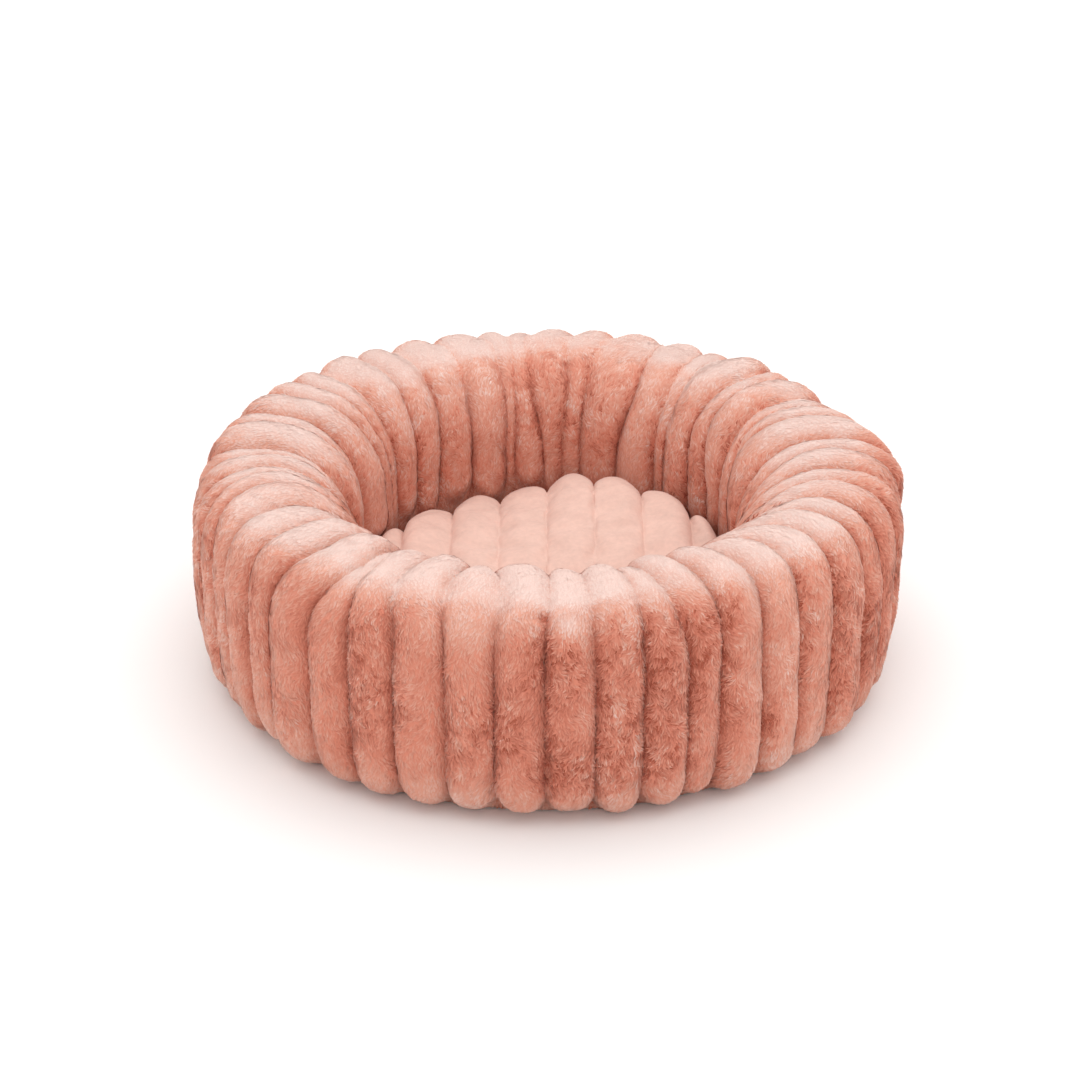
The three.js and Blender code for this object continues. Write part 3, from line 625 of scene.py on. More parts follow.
def grow_fur(sizes, name, points, normals, tint, across, count, finish, seed):
    """Tufts of pile on a grid of skin, each a blade of three triangles. Spots are spread evenly by area. A
    tuft leans along the rib, turned aside by slow and quick noise so that neighbours lie together in locks;
    its spine is root + length * (0.94 * share * lean + rise * lift * up) at three places, its width narrows
    to nothing at the tip, and it takes most of its shading from the skin under it."""
    draw = np.random.default_rng(seed)
    # Each spot's cell and shares of it, and the skin's place, normal, place across the rib and shade there.
    down = points[1:, :, :-1] - points[:-1, :, :-1]
    over = points[:-1, :, 1:] - points[:-1, :, :-1]
    area = np.cumsum(np.linalg.norm(np.cross(down, over), axis=-1).ravel())
    wanted = (np.arange(count) + draw.random(count)) / count * area[-1]
    cell = np.minimum(np.searchsorted(area, wanted), len(area) - 1)
    spot = (*np.unravel_index(cell, down.shape[:3]), draw.random(count), draw.random(count))
    root = at_spots(points, *spot)
    facing = unit(at_spots(normals, *spot))
    along = unit(down[spot[:3]])
    aside = np.cross(facing, along)
    place = at_spots(np.broadcast_to(across, points.shape[:3]), *spot)
    pale = at_spots(tint, *spot)
    # How ruffled the pile is: smooth where pale, rough in patches on the walls, with cracks between locks.
    wall = np.clip((1 - pale) / 0.55, 0.15, 1)
    inside = np.hypot(root[:, 0], root[:, 1]) < sizes.ring_radius
    rough = 0.5 + 1.2 * lumps(root * [1, 1, 0.7], 0.034, 95) - 0.35 * place + 0.35 * inside
    rough = ease(rough) * wall
    cracks = np.clip(1 - 3.0 * np.abs(lumps(root, 0.0090, 96)), 0, 1) ** 2
    cracks = cracks + 0.7 * np.clip(1 - 2.6 * np.abs(lumps(root, 0.0052, 97)), 0, 1) ** 2
    # Which way each tuft lies, how far it stands up, and its size.
    swirl = 1.1 * lumps(root, 0.020, 91) + (0.5 + 0.9 * rough) * lumps(root, 0.0062, 92)
    swirl = (swirl + 0.30 * draw.standard_normal(count)) * (0.3 + 0.7 * wall)
    lean = unit(along * -np.cos(swirl)[:, None] + aside * np.sin(swirl)[:, None])
    rise = 0.05 + (0.08 + 0.12 * rough) * wall + 0.05 * draw.standard_normal(count) * wall
    rise = np.clip(rise - 0.06 * cracks * rough + 0.30 * np.abs(place) ** 8, 0.02, 0.5) * wall
    length = sizes.pile_length * (0.82 + 0.36 * draw.random(count)) * (0.75 + 0.25 * wall)
    width = sizes.pile_width * (0.75 + 0.5 * draw.random(count))
    # Its spine at the root, past the middle and at the tip, and its five corners, none under the bed.
    hug = (1 - wall)[:, None]
    spine = [
        root + length[:, None] * (lean * share * 0.94 + facing * (rise * lift)[:, None])
        + facing * clear * hug
        for share, lift, clear in ((0.0, -0.05, 0.00030), (0.55, 0.70, 0.00024), (1.0, 1.0, -0.00006))
    ]
    half = (unit(np.cross(facing, lean)) * width[:, None]) / 2
    base = [spine[0] - half, spine[0] + half]
    bend = [spine[1] - 0.8 * half, spine[1] + 0.8 * half]
    corners = np.stack([*base, *bend, spine[2]], axis=1)
    lowest = np.where(inside, sizes.ground_thickness + HAIR, HAIR)
    corners[..., 2] = np.maximum(corners[..., 2], lowest[:, None])
    # The finish reads the shade from u and the place from root to tip from v.
    shade = pale + (0.02 + 0.05 * rough + 0.03 * wall) * draw.standard_normal(count)
    clumps = 0.7 * lumps(root, 0.0058, 98) + 0.6 * lumps(root * [1, 1, 0.8], 0.013, 99)
    # Painted shade in the cracks between locks.
    shade = shade + (0.02 + 0.08 * wall + 0.13 * rough) * clumps - 0.30 * cracks * (0.15 + rough) * wall
    shade = np.clip(shade + 0.06 * ease((place - 0.1) / 0.7) * wall, 0.02, 0.98)
    u = shade[:, None] + 0.015 * np.array([-1, 1, -1, 1, 0])
    v = np.broadcast_to([0.02, 0.02, 0.55, 0.55, 0.98], u.shape)
    blade = np.array([[0, 3, 1], [0, 2, 3], [2, 4, 3]])
    triangles = (5 * np.arange(count)[:, None, None] + blade).reshape(-1, 3)
    piece = new_piece(name, corners.reshape(-1, 3), np.zeros((0, 4), np.int64), triangles,
                      uv=np.stack([u, v], axis=-1).reshape(-1, 2))
    ruffle = 0.05 + 0.12 * wall[:, None]
    soft = unit(facing + ruffle * lean + ruffle * draw.standard_normal((count, 3)))
    piece.data.normals_split_custom_set_from_vertices(np.repeat(soft, 5, axis=0).tolist())
    fit_out(piece, finish, "rim", ["rim_cover"])


class FurFinish:
    """The two finishes of the rim: the skin that the fur grows from, and the tufts."""

    def __init__(self, colours):
        skin = Finish("fur_skin", colours.deep_fur, 0.95)
        # The skin shows between the tufts, where the pile is in shade: painted shade makes it 0.08 deeper
        # than the tufts.
        skin.colour(self.nap(skin, skin.attribute("tint") - 0.08, colours))
        skin.bump(skin.noise(900, 3, 0.6), 0.0006, 0.6)
        self.skin = skin.material
        pile = Finish("fur_pile", colours.deep_fur, 0.9, sheen=0.30, sheen_tint=(1, 0.76, 0.66))
        # Painted shade at the roots: along each tuft the share runs from 0.09 deeper at its root to 0.07
        # paler at its tip.
        share = pile.uv("X") + pile.ramp(pile.uv("Y"), 0.0, 0.8) * 0.16 - 0.09
        pile.colour(self.nap(pile, share, colours))
        self.pile = pile.material

    def nap(self, finish, share, colours):
        """The fur's colours: from the painted shade of its roots, cracks and creases, through its own deep
        and warm colours, to the pale of its crest, which is painted light from above.
        """
        stops = (
            (0.00, rgba(colours.root_shade_fur)), (0.38, rgba(colours.deep_fur)), (0.62, rgba(colours.warm_fur)),
            (0.97, rgba(colours.crest_light_fur)),
        )
        return finish.node("ShaderNodeValToRGB", {"stops": stops}, {0: share})


def joined(grid):
    """A grid of ribs (rows, ribs, columns + 1) as one of (rows, columns): two neighbours share a seam's
    column."""
    plain = grid[:, :, :-1].reshape(len(grid), -1, *grid.shape[3:])
    return np.concatenate([plain, grid[:, -1, -1:]], axis=1)


def shell(points, inner, step):
    """A closed shell from an outer grid (rows, columns) and a coarser inner one that takes every step-th of
    its points: quads on both sides, and fans of triangles that join their four edges."""
    rows, columns = points.shape[:2]
    inner_rows, inner_columns = inner.shape[:2]
    start = rows * columns
    outer_index = np.arange(start).reshape(rows, columns)
    inner_index = start + np.arange(inner_rows * inner_columns).reshape(inner_rows, inner_columns)
    outer = grid_quads(rows, columns)
    back = grid_quads(inner_rows, inner_columns, start=start)[:, ::-1]
    fans = []
    edges = (
        (outer_index[0], inner_index[0], False),
        (outer_index[-1], inner_index[-1], True),
        (outer_index[:, 0], inner_index[:, 0], True),
        (outer_index[:, -1], inner_index[:, -1], False),
    )
    for many, few, turned in edges:
        i = np.arange(len(many) - 1)
        near = few[(i + step // 2) // step]
        fan = np.stack([many[i + 1], many[i], near], axis=1)
        j = np.arange(len(few) - 1)
        base = np.stack([few[j], few[j + 1], many[j * step + step // 2]], axis=1)
        both = np.concatenate([fan, base])
        fans.append(both[:, ::-1] if turned else both)
    corners = np.concatenate([points.reshape(-1, 3), inner.reshape(-1, 3)])
    return corners, np.concatenate([outer, back]), np.concatenate(fans)


def make_sleeve(sizes, finish):
    """The rim's fur cloth, in four quarters that meet in seams: an outer skin with small folds, a coarser
    inner side, and two pieces of pile on each quarter."""
    step, hem_rows = 2, 8
    if (sizes.rib_rows - 1) % step:
        raise RuntimeError("the rows along a rib must be an even number and one")
    for name, first, last in QUARTERS:
        points, across, slope, nap_and_shading = rib_surface(sizes, first, last)
        normals = grid_normals(points)
        fuzz = lumps(points * [1, 1, 0.8], 0.0065, 21) * 0.0006 + lumps(points, 0.022, 22) * 0.0007
        row = np.arange(len(points))
        hem = np.clip(np.minimum(row, row[::-1]) / hem_rows, 0, 1)[:, None, None]
        points = points + normals * (fuzz * hem)[..., None]
        points[..., 2] = np.maximum(points[..., 2], HAIR)
        shade = fur_tint_and_shading(points, normals, slope, nap_and_shading, across)
        # Painted light: the skin is made paler right at the seams, against the shade that falls there.
        tint = joined(shade + 0.25 * np.abs(across) ** 10 * shade ** 2)
        outer = joined(points)
        rows, columns = outer.shape[:2]
        few = np.ix_(np.arange(0, rows, step), np.arange(0, columns, step))
        inner = joined(rib_surface(sizes, first, last, inset=sizes.sleeve_thickness)[0])[few]
        corners, quads, fans = shell(outer, inner, step)
        v, u = np.meshgrid(np.linspace(0.01, 0.99, rows), np.linspace(0.01, 0.99, columns), indexing="ij")
        uv = np.stack([u, v], axis=-1)
        uv = np.concatenate([uv.reshape(-1, 2), uv[few].reshape(-1, 2)])
        tint = np.concatenate([tint.ravel(), tint[few].ravel()])
        crease = np.zeros((rows, columns), bool)
        crease[:, ::sizes.rib_columns] = True
        sharp = np.concatenate([crease.ravel(), np.zeros(inner.shape[0] * inner.shape[1], bool)])
        piece = new_piece(f"sleeve_{name}", corners, quads, fans, uv, {"tint": tint}, sharp)
        fit_out(piece, finish.skin, "rim", ["rim_cover"])
        half = (last - first) // 2
        for number, part in enumerate((slice(0, half), slice(half, last - first))):
            grow_fur(sizes, f"fur_{name}_{number + 1}", points[:, part], normals[:, part], shade[:, part],
                     across, sizes.pile_count // (2 * len(QUARTERS)), finish.pile, 200 + 10 * first + number)


class Zip:
    """Where a zip lies: an arc about the bed's axis, its tape's underside, how far its coils stop from its
    ends, the room over its tape, and the sizes that its slot and its recess follow."""

    def __init__(self, name, body, radius, length, tape_base, coil_ends, room):
        self.name, self.body = name, body
        self.radius, self.length = radius, length
        self.sweep = length / radius
        self.start, self.end = BACK - self.sweep / 2, BACK + self.sweep / 2
        self.tape_base = tape_base
        self.coil_ends = coil_ends
        self.groove_top = tape_base + room
        self.tape_width = 0.013
        self.coil_inner = 0.0008
        self.tape_reach = self.tape_width + self.coil_inner + HAIR
        self.slot_half = 0.0061
        self.lip_width = 0.0022
        self.lip_edge = radius + self.slot_half + self.lip_width

    def away(self, radius, angles, reach):
        """How far places lie outside a strip of this reach on each side of the zip, past its sides or its
        ends."""
        beside = np.abs(radius - self.radius) - reach
        beyond = (np.abs(turned_from(angles, BACK)) - self.sweep / 2) * self.radius
        return np.maximum(beside, beyond)

    def groove(self, radius, angles, share, width):
        """How much of its full height a groove has: 1 up to (share - 1) widths beside the tape, then eased
        to 0 over one width."""
        return ease(share - self.away(radius, angles, self.tape_reach) / width)


RIM_ZIP = Zip("rim_zip", "rim", 0.229, 0.340, tape_base=0.0066, coil_ends=0.0285, room=0.0095)
CUSHION_ZIP = Zip("cushion_zip", "cushion", 0.105, 0.180, tape_base=0.0250, coil_ends=0.0045, room=0.0032)


def fluff(points, normals, size, height, seed):
    """Fibre stuffing: points moved along their normals by soft lumps and finer tufts."""
    lift = lumps(points, size, seed) + 0.35 * lumps(points, size * 0.3, seed + 1)
    return points + normals * (lift * height - height * 1.35)[..., None]


def closed_normals(grid):
    """Outward normals of a ring whose rows and columns both close on themselves."""
    down = np.roll(grid, -1, axis=0) - np.roll(grid, 1, axis=0)
    over = np.roll(grid, -1, axis=1) - np.roll(grid, 1, axis=1)
    return unit(np.cross(over, down))


def make_lining(sizes, finish):
    """The woven backing: a closed wall between two lines inside the sleeve."""
    inset = sizes.sleeve_thickness + HAIR
    outer_r, outer_z = inside_line(sizes, 50, inset)
    inner_r, inner_z = inside_line(sizes, 50, inset + sizes.lining_thickness)
    radius = np.concatenate([outer_r, inner_r[::-1]])
    height = np.concatenate([outer_z, inner_z[::-1]])
    piece = swept("rim_backing", stand(radius, height, ring_angles(288)))
    fit_out(piece, finish, "rim", ["rim_lining"])


def make_stuffing(sizes, finish):
    """The ring of fibre: the line inside the lining, closed along the ground and grooved over the zip."""
    inset = sizes.sleeve_thickness + sizes.lining_thickness + 3 * HAIR
    wall_r, wall_z = inside_line(sizes, 90, inset)
    floor_r = np.linspace(wall_r[-1], wall_r[0], 42)[1:-1]
    radius = np.concatenate([wall_r, floor_r])
    height = np.concatenate([wall_z, np.full(len(floor_r), wall_z[0])])
    angles = ring_angles(400)
    grid = stand(radius, height, angles)
    grid = fluff(grid, closed_normals(grid), size=0.016, height=0.0012, seed=31)
    base = sizes.ground_thickness + sizes.tape_thickness + 2 * HAIR
    groove = RIM_ZIP.groove(np.hypot(grid[..., 0], grid[..., 1]), angles, share=1.5, width=0.006)
    grid[..., 2] = np.maximum(grid[..., 2], base + (RIM_ZIP.groove_top - base) * groove)
    fit_out(swept("rim_stuffing", grid), finish, "rim", ["rim_fill"])


def slotted_rows(zipped, outside, inner_rows):
    """Radii of a round cloth's rows from its edge to its middle: those outside the slot, which the caller
    gives, lines on the slot's two sides and its lips, and even steps inside them."""
    near, far = zipped.radius - zipped.slot_half, zipped.radius + zipped.slot_half
    lip = zipped.lip_width * np.linspace(0, 1, 5)
    inside = np.linspace(near - zipped.lip_width, 0, inner_rows)[1:]
    return np.concatenate([outside, far + lip[::-1], near - lip, inside])


def slotted_angles(zipped, across_slot, rest):
    """Angles round a cloth with lines on the slot's two ends and on the lips past them."""
    lip = zipped.lip_width / zipped.radius * np.linspace(1, 0.25, 4)
    through = np.linspace(zipped.start, zipped.end, across_slot)
    around = np.linspace(zipped.end + lip[0], zipped.start - lip[0] + TURN, rest)[1:-1]
    return np.concatenate([zipped.start - lip, through, zipped.end + lip[::-1], around])


def slot_cells(zipped, rows, angles):
    """True for the cells of the grid that the slot leaves whole."""
    middle_radius = (rows[1:] + rows[:-1]) / 2
    middle_angle = (np.append(angles[1:], angles[0] + TURN) + angles) / 2
    return zipped.away(middle_radius[:, None], middle_angle, zipped.slot_half) >= 0


def slot_lift(zipped, rows, angles, rise):
    """How far the cloth is turned up to the tape beside the slot: rise * (1 - away / lip)^1.6 over the
    lip."""
    away = zipped.away(rows[:, None], angles, zipped.slot_half)
    return rise * np.clip(1 - away / zipped.lip_width, 0, 1) ** 1.6


def make_ground_cloth(sizes, finish, thread):
    """The round cloth under the bed: flat, with its slot's edges turned up to the zip's tape, and its rows
    of stitches: one on each side of the slot, one near the edge and one further in."""
    edge = sizes.ground_radius
    rows = slotted_rows(RIM_ZIP, np.linspace(edge, RIM_ZIP.lip_edge, 8)[:-1], 24)
    angles = slotted_angles(RIM_ZIP, 120, 260)
    lift = slot_lift(RIM_ZIP, rows, angles, RIM_ZIP.tape_base - HAIR - sizes.ground_thickness)
    ripple = 0.00022 * lumps(stand(rows, 0 * rows, angles), 0.03, 41)
    from_edge = np.clip((edge - rows) / 0.02, 0, 1)[:, None]
    lower = stand(rows, lift + (0.00025 + ripple) * from_edge, angles)
    upper = stand(rows, lift + sizes.ground_thickness + ripple * from_edge, angles)
    piece = slab("ground_sheet", upper, lower, slot_cells(RIM_ZIP, rows, angles), wrap=True)
    fit_out(piece, finish, "rim", ["bottom_cloth"])
    stitch_pitch, stitch_length, stitch_wire, stitch_drop = 0.0042, 0.0034, 0.00024, 0.0002
    beside_slot, outer_row, inner_row = 0.0034, 0.007, 0.095
    seam_rows = (
        (RIM_ZIP.radius - RIM_ZIP.slot_half - beside_slot, RIM_ZIP.start, RIM_ZIP.sweep),
        (RIM_ZIP.radius + RIM_ZIP.slot_half + beside_slot, RIM_ZIP.start, RIM_ZIP.sweep),
        (edge - outer_row, 0, TURN),
        (edge - inner_row, 0, TURN),
    )
    for number, (radius, start, sweep) in enumerate(seam_rows):
        count = round(radius * sweep / stitch_pitch)
        place = start + sweep * (np.arange(count) + 0.5) / count
        spots = stand(np.array([radius]), np.array([stitch_drop]), place)[0]
        along = np.stack([-np.sin(place), np.cos(place), 0 * place], axis=1)
        down = np.broadcast_to([0.0, 0.0, -1.0], along.shape)
        row = stitches(f"ground_stitches_{number + 1}", spots, along, down, stitch_length, stitch_wire)
        fit_out(row, thread, "rim", ["bottom_cloth"])


def flat_ring(name, inner, outer, base, thickness):
    """A tape laid flat round the bed: a thin section, thinned on each side towards its edges by |2 across -
    1|^4 * thickness / 4."""
    across = np.linspace(0, 1, 7)
    bead = 0.25 * thickness * (np.abs(2 * across - 1) ** 4)
    radius = np.concatenate([inner + (outer - inner) * across, outer - (outer - inner) * across])
    height = np.concatenate([base + bead, base + thickness - bead])
    return swept(name, stand(radius, height, ring_angles(480)))


def make_tapes(sizes, finish):
    """The two tapes that bind the sleeve's hems to the ground cloth, and the pad's side tape, which bulges
    by 1 - (2 up - 1)^2 between its edges."""
    base = sizes.ground_thickness + HAIR
    width = 0.012
    inner_line = 0.1935
    for name, node, inner in (
        ("outer_hem_tape", "outer_seam_tape", sizes.ground_radius - width),
        ("inner_hem_tape", "inner_seam_tape", inner_line),
    ):
        piece = flat_ring(name, inner, inner + width, base, sizes.tape_thickness)
        fit_out(piece, finish, "rim", [node])
    (_, _, low), (edge, _, high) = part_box("pad_side_tape")
    wall, bulge = 0.0014, 0.0010
    up = np.linspace(0, 1, 9)
    outside = edge - bulge + bulge * (1 - (2 * up - 1) ** 2)
    radius = np.concatenate([outside, (outside - wall)[::-1]])
    height = np.concatenate([low + (high - low) * up, high - (high - low) * up])
    piece = swept("pad_border", stand(radius, height, ring_angles(480)))
    fit_out(piece, finish, "rim", ["pad_side_tape"])


def make_floor(sizes, finishes):
    """The wadding pad, a disc whose height is half * sqrt(1 - inward^2) at its rounded edge, with soft
    dents, and the floor cloth that is laid over it with a low ripple."""
    angles = ring_angles(240)
    (_, _, low), (edge, _, high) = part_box("base_pad")
    border_room = 0.0012
    edge = edge - border_room
    rows = edge * np.sin(np.linspace(math.pi / 2, 0, 44))
    half, middle = (high - low) / 2, (high + low) / 2
    inward = np.clip((rows - edge + sizes.pad_edge) / sizes.pad_edge, 0, 1)
    swell = half * np.sqrt(np.clip(1 - inward ** 2, 0.04, 1))
    dents = 0.0006 * lumps(stand(rows, 0 * rows, angles), 0.02, 61) - 0.0007
    rise = swell[:, None] + dents * (swell / half)[:, None]
    pad = slab("floor_pad", stand(rows, middle + rise, angles), stand(rows, middle - rise, angles), wrap=True)
    fit_out(pad, finishes.fibre, "rim", ["base_pad"])
    (_, _, low), (edge, _, high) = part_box("floor_cloth")
    rows = edge * np.linspace(1, 0, 34)
    plain = stand(rows, 0 * rows, angles)
    from_edge = np.clip((edge - rows) / 0.03, 0, 1)[:, None]
    ripple = 0.00035 * lumps(plain * [1, 1.6, 1], 0.05, 62) * from_edge
    top_room, base_sink = 0.0004, 0.0001
    upper = stand(rows, high - top_room + ripple, angles)
    lower = stand(rows, low - base_sink + ripple, angles)
    cloth = slab("floor_sheet", upper, lower, wrap=True)
    fit_out(cloth, finishes.cloth, "rim", ["floor_cloth"])


def make_zip(sizes, zipped, finishes):
    """A zip's cloth and coils: two tapes with a thick edge at the coils, and two spirals. A spiral's turns
    go round the coil's middle line by out * cos(wind) across it and up * sin(wind), and each has nine
    points."""
    thick = sizes.tape_thickness
    near, far = zipped.coil_inner, zipped.coil_inner + zipped.tape_width
    across = np.array([0, 0.06, 0.14, 0.24, 0.5, 0.8, 0.97, 1])
    bead = thick * np.array([0.10, 0.02, 0.05, 0.24, 0.24, 0.24, 0.10, 0.2])
    reach = near + (far - near) * across
    height = zipped.tape_base + np.concatenate([bead, (thick - bead)[::-1]])
    angles = np.linspace(zipped.start, zipped.end, 140)
    coil_wide, coil_tall, coil_pitch, wire = 0.0026, 0.002, 0.00155, 0.00034
    begin = zipped.start + zipped.coil_ends / zipped.radius
    stretch = zipped.sweep - 2 * zipped.coil_ends / zipped.radius
    turns = round(stretch * zipped.radius / coil_pitch)
    share = np.linspace(0, 1, turns * 9 + 1)
    place, wind = begin + stretch * share, TURN * turns * share
    out = (coil_wide / 2 - wire) * np.cos(wind)
    up = (coil_tall / 2 - wire) * np.sin(wind)
    for side, sign in (("inner", -1), ("outer", 1)):
        radius = zipped.radius + sign * np.concatenate([reach, reach[::-1]])
        section = stand(radius[::sign], height[::sign], angles)
        tape = swept(f"{zipped.name}_cloth_{side}", section, ring=False)
        fit_out(tape, finishes.tape, zipped.body, [f"{zipped.name}_tape_{side}"])
        low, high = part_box(f"{zipped.name}_coil_{side}")
        middle = (low[2] + high[2]) / 2
        line = zipped.radius + sign * (near + coil_wide / 2) + sign * out
        route = np.stack([line * np.cos(place), line * np.sin(place), middle + up], axis=1)
        facing = sign * np.cos(wind)
        aside = np.stack([facing * np.cos(place), facing * np.sin(place), np.sin(wind)], axis=1)
        coil = tube(f"{zipped.name}_spiral_{side}", route, aside, wire, 4)
        fit_out(coil, finishes.coil, zipped.body, [f"{zipped.name}_coil_{side}"])


def make_fittings(finish):
    """Stops, sliders and the pull: each node's own shape, flat faces joined and its edges rounded."""
    nodes = (
        ("rim_zip_stop_near", "rim"), ("rim_zip_stop_far", "rim"), ("rim_zip_slider", "rim_slider"),
        ("rim_zip_pull", "rim_pull"), ("cushion_zip_stop_near", "cushion"),
        ("cushion_zip_stop_far", "cushion"), ("cushion_zip_slider", "cushion_slider"),
    )
    edge_radius, rounded_from, shaded_from = 0.00022, math.radians(40), math.radians(35)
    for node, body in nodes:
        mesh = bpy.data.objects[node].data.copy()
        mesh.materials.clear()
        cast = bmesh.new()
        cast.from_mesh(mesh)
        bmesh.ops.remove_doubles(cast, verts=cast.verts, dist=2e-6)
        bmesh.ops.dissolve_limit(cast, angle_limit=math.radians(1), verts=cast.verts, edges=cast.edges)
        bmesh.ops.recalc_face_normals(cast, faces=cast.faces)
        cast.to_mesh(mesh)
        cast.free()
        piece = bpy.data.objects.new(f"{node}_cast", mesh)
        bpy.context.scene.collection.objects.link(piece)
        rounding = piece.modifiers.new("rounding", "BEVEL")
        rounding.width = edge_radius
        rounding.segments = 3
        rounding.limit_method = "ANGLE"
        rounding.angle_limit = rounded_from
        mesh.polygons.foreach_set("use_smooth", np.ones(len(mesh.polygons), bool))
        mesh.set_sharp_from_angle(angle=shaded_from)
        fit_out(piece, finish, body, [node])


def cushion_seam(sizes):
    """The height of the seam that joins the cushion's upper side and its underside, 0.42 of its height
    up."""
    return CUSHION_BASE + 0.42 * sizes.cushion_height


def seams_each_side(sizes):
    """How many of the cushion's seams lie on each side of the one in the middle."""
    return int((sizes.cushion_radius - sizes.scallop) / sizes.channel_pitch)


def cushion_edge(sizes, x, point, inset=0.0):
    """The cushion's plan radius: reach - scallop * point * (1 - |x / reach|^8), so less at the seams, but
    not at its far left and right."""
    reach = sizes.cushion_radius - inset
    return reach - sizes.scallop * point * (1 - (np.abs(x) / reach) ** 8)


def cushion_grid(sizes, inset, columns_each, rows):
    """Places on the cushion's round plan, row by row from front to back. Across, the places run from seam to
    seam of each channel, closer together at the seams; along, y = reach * sin(share). Between seams the edge
    stands out, so the channels' ends are scalloped. Returns x, y, the share of the radius, the channel's
    fullness, which is (1 - |share|^3.2)^(1/2.4), and how near a seam each place is, |share|^1.7."""
    reach = sizes.cushion_radius - inset - HAIR
    count = seams_each_side(sizes)
    seams = np.concatenate([[-reach], sizes.channel_pitch * np.arange(-count, count + 1), [reach]])
    share = -np.cos(np.pi * np.arange(columns_each) / columns_each)
    left, right = seams[:-1, None], seams[1:, None]
    x = np.append((left + (right - left) * (share + 1) / 2).ravel(), reach)
    share = np.append(np.tile(share, len(seams) - 1), 1.0)
    full = (1 - np.abs(share) ** 3.2).clip(0) ** (1 / 2.4)
    point = np.abs(share) ** 1.7
    edge = cushion_edge(sizes, x, point, inset)
    y_reach = np.sqrt((edge ** 2 - x ** 2).clip(0))
    y = y_reach * np.sin(np.linspace(-math.pi / 2, math.pi / 2, rows))[:, None]
    x = np.broadcast_to(x, y.shape)
    radius_share = np.minimum(np.hypot(x, y) / edge, 1)
    return x, y, radius_share, np.broadcast_to(full, y.shape), np.broadcast_to(point, y.shape)


def cushion_tilt(x, y):
    """The cushion lies unevenly: the wall pushes it up at the back and sides, most on the right."""
    outer = 0.009 * ease((np.abs(x) - 0.095) / 0.035)
    return (0.0105 * np.tanh((x - 0.002) / 0.025) + 0.005 + outer) * np.clip(0.30 + y / 0.14, 0, 1)


def cushion_top_points(sizes, inset, columns_each, rows):
    """The cushion's upper side: height = seam + rise * shoulder + crown * (1 - share^2), less a valley at
    each seam, with shoulder = (1 - share^15)^(1/3), and tilted as cushion_tilt says."""
    x, y, share, full, point = cushion_grid(sizes, inset, columns_each, rows)
    seam = cushion_seam(sizes)
    rise = CUSHION_BASE + sizes.cushion_height - seam - inset - sizes.cushion_crown
    shoulder = np.cbrt(1 - share ** 15)
    z = seam + rise * shoulder + sizes.cushion_crown * (1 - share ** 2)
    z = z - (sizes.channel_depth * (1 - full) + 0.0075 * share ** 5 * point) * shoulder ** 0.5
    z = z + cushion_tilt(x, y) * shoulder
    return np.stack([x, y, z], axis=-1)


def fill_with_air(points, pinned, pressure, frames, slack, limit):
    """Cloth filled with air for a few frames, held at its pinned points, with no point moving further than
    limit: the tight puckers beside the seams come from this."""
    rows, columns = points.shape[:2]
    cloth = new_piece("air_test", points.reshape(-1, 3), grid_quads(rows, columns))
    group = cloth.vertex_groups.new(name="held")
    group.add(np.flatnonzero(pinned.ravel()).tolist(), 1.0, "REPLACE")
    modifier = cloth.modifiers.new("air", "CLOTH")
    settings = modifier.settings
    settings.quality = 6
    settings.mass = 0.25
    settings.tension_stiffness = settings.compression_stiffness = 18
    settings.shear_stiffness = 8
    settings.bending_stiffness = 0.6
    settings.air_damping = 4
    settings.vertex_group_mass = "held"
    settings.use_pressure = True
    settings.uniform_pressure_force = pressure
    settings.shrink_min = settings.shrink_max = -slack
    settings.effector_weights.gravity = 0
    modifier.collision_settings.use_collision = False
    modifier.point_cache.frame_start = 1
    modifier.point_cache.frame_end = frames
    scene = bpy.context.scene
    for frame_number in range(1, frames + 1):
        scene.frame_set(frame_number)
    mesh = cloth.evaluated_get(bpy.context.evaluated_depsgraph_get()).data
    moved = np.empty(rows * columns * 3, np.float32)
    mesh.vertices.foreach_get("co", moved)
    bpy.data.objects.remove(cloth)
    scene.frame_set(1)
    shift = moved.reshape(points.shape) - points
    far = np.linalg.norm(shift, axis=-1, keepdims=True)
    return points + shift * np.minimum(1, limit / (far + 1e-9))


def grid_up(points):
    """Upward vectors of a grid of points: the cross product of its two directions."""
    return np.cross(np.gradient(points, axis=1), np.gradient(points, axis=0))


def make_cushion(sizes, finishes):
    """The loose cushion: plush filled with air between its seams, its stuffing, and its underside with a
    zip."""
    each, rows = 12, 71
    plain = cushion_top_points(sizes, 0.0, each, rows)
    under = cushion_top_points(sizes, sizes.plush_thickness, each, rows)
    pinned = np.zeros(plain.shape[:2], bool)
    pinned[[0, -1]] = True
    pinned[:, ::each] = True
    points = plain
    points = fill_with_air(plain, pinned, pressure=3.0, frames=22, slack=0.03, limit=0.006)
    nap = 0.0004 * lumps(points, 0.009, 71) * ~pinned
    points = points + unit(grid_up(points)) * nap[..., None]
    top = slab("cushion_plush", points, points + (under - plain))
    softened = top.modifiers.new("softened", "SUBSURF")
    softened.levels = softened.render_levels = 1
    fit_out(top, finishes.plush, "cushion", ["cushion_top"])
    make_cushion_base(sizes, finishes)
    make_cushion_fill(sizes, finishes)


def scalloped_edge(sizes, angles, inset):
    """The cushion's plan radius at each angle: the edge stands out between seams, found in a few steps
    because the channel that an angle meets depends on the radius there."""
    reach = sizes.cushion_radius - HAIR
    edge = np.full(len(angles), sizes.cushion_radius)
    for _ in range(12):
        x = np.clip(edge * np.cos(angles), -reach, reach)
        seam = np.minimum(np.abs(x) // sizes.channel_pitch, seams_each_side(sizes))
        low = seam * sizes.channel_pitch
        high = np.minimum(low + sizes.channel_pitch, reach)
        share = 2 * (np.abs(x) - low) / (high - low) - 1
        edge = cushion_edge(sizes, x, np.abs(share.clip(-1, 1)) ** 1.7)
    return edge - inset


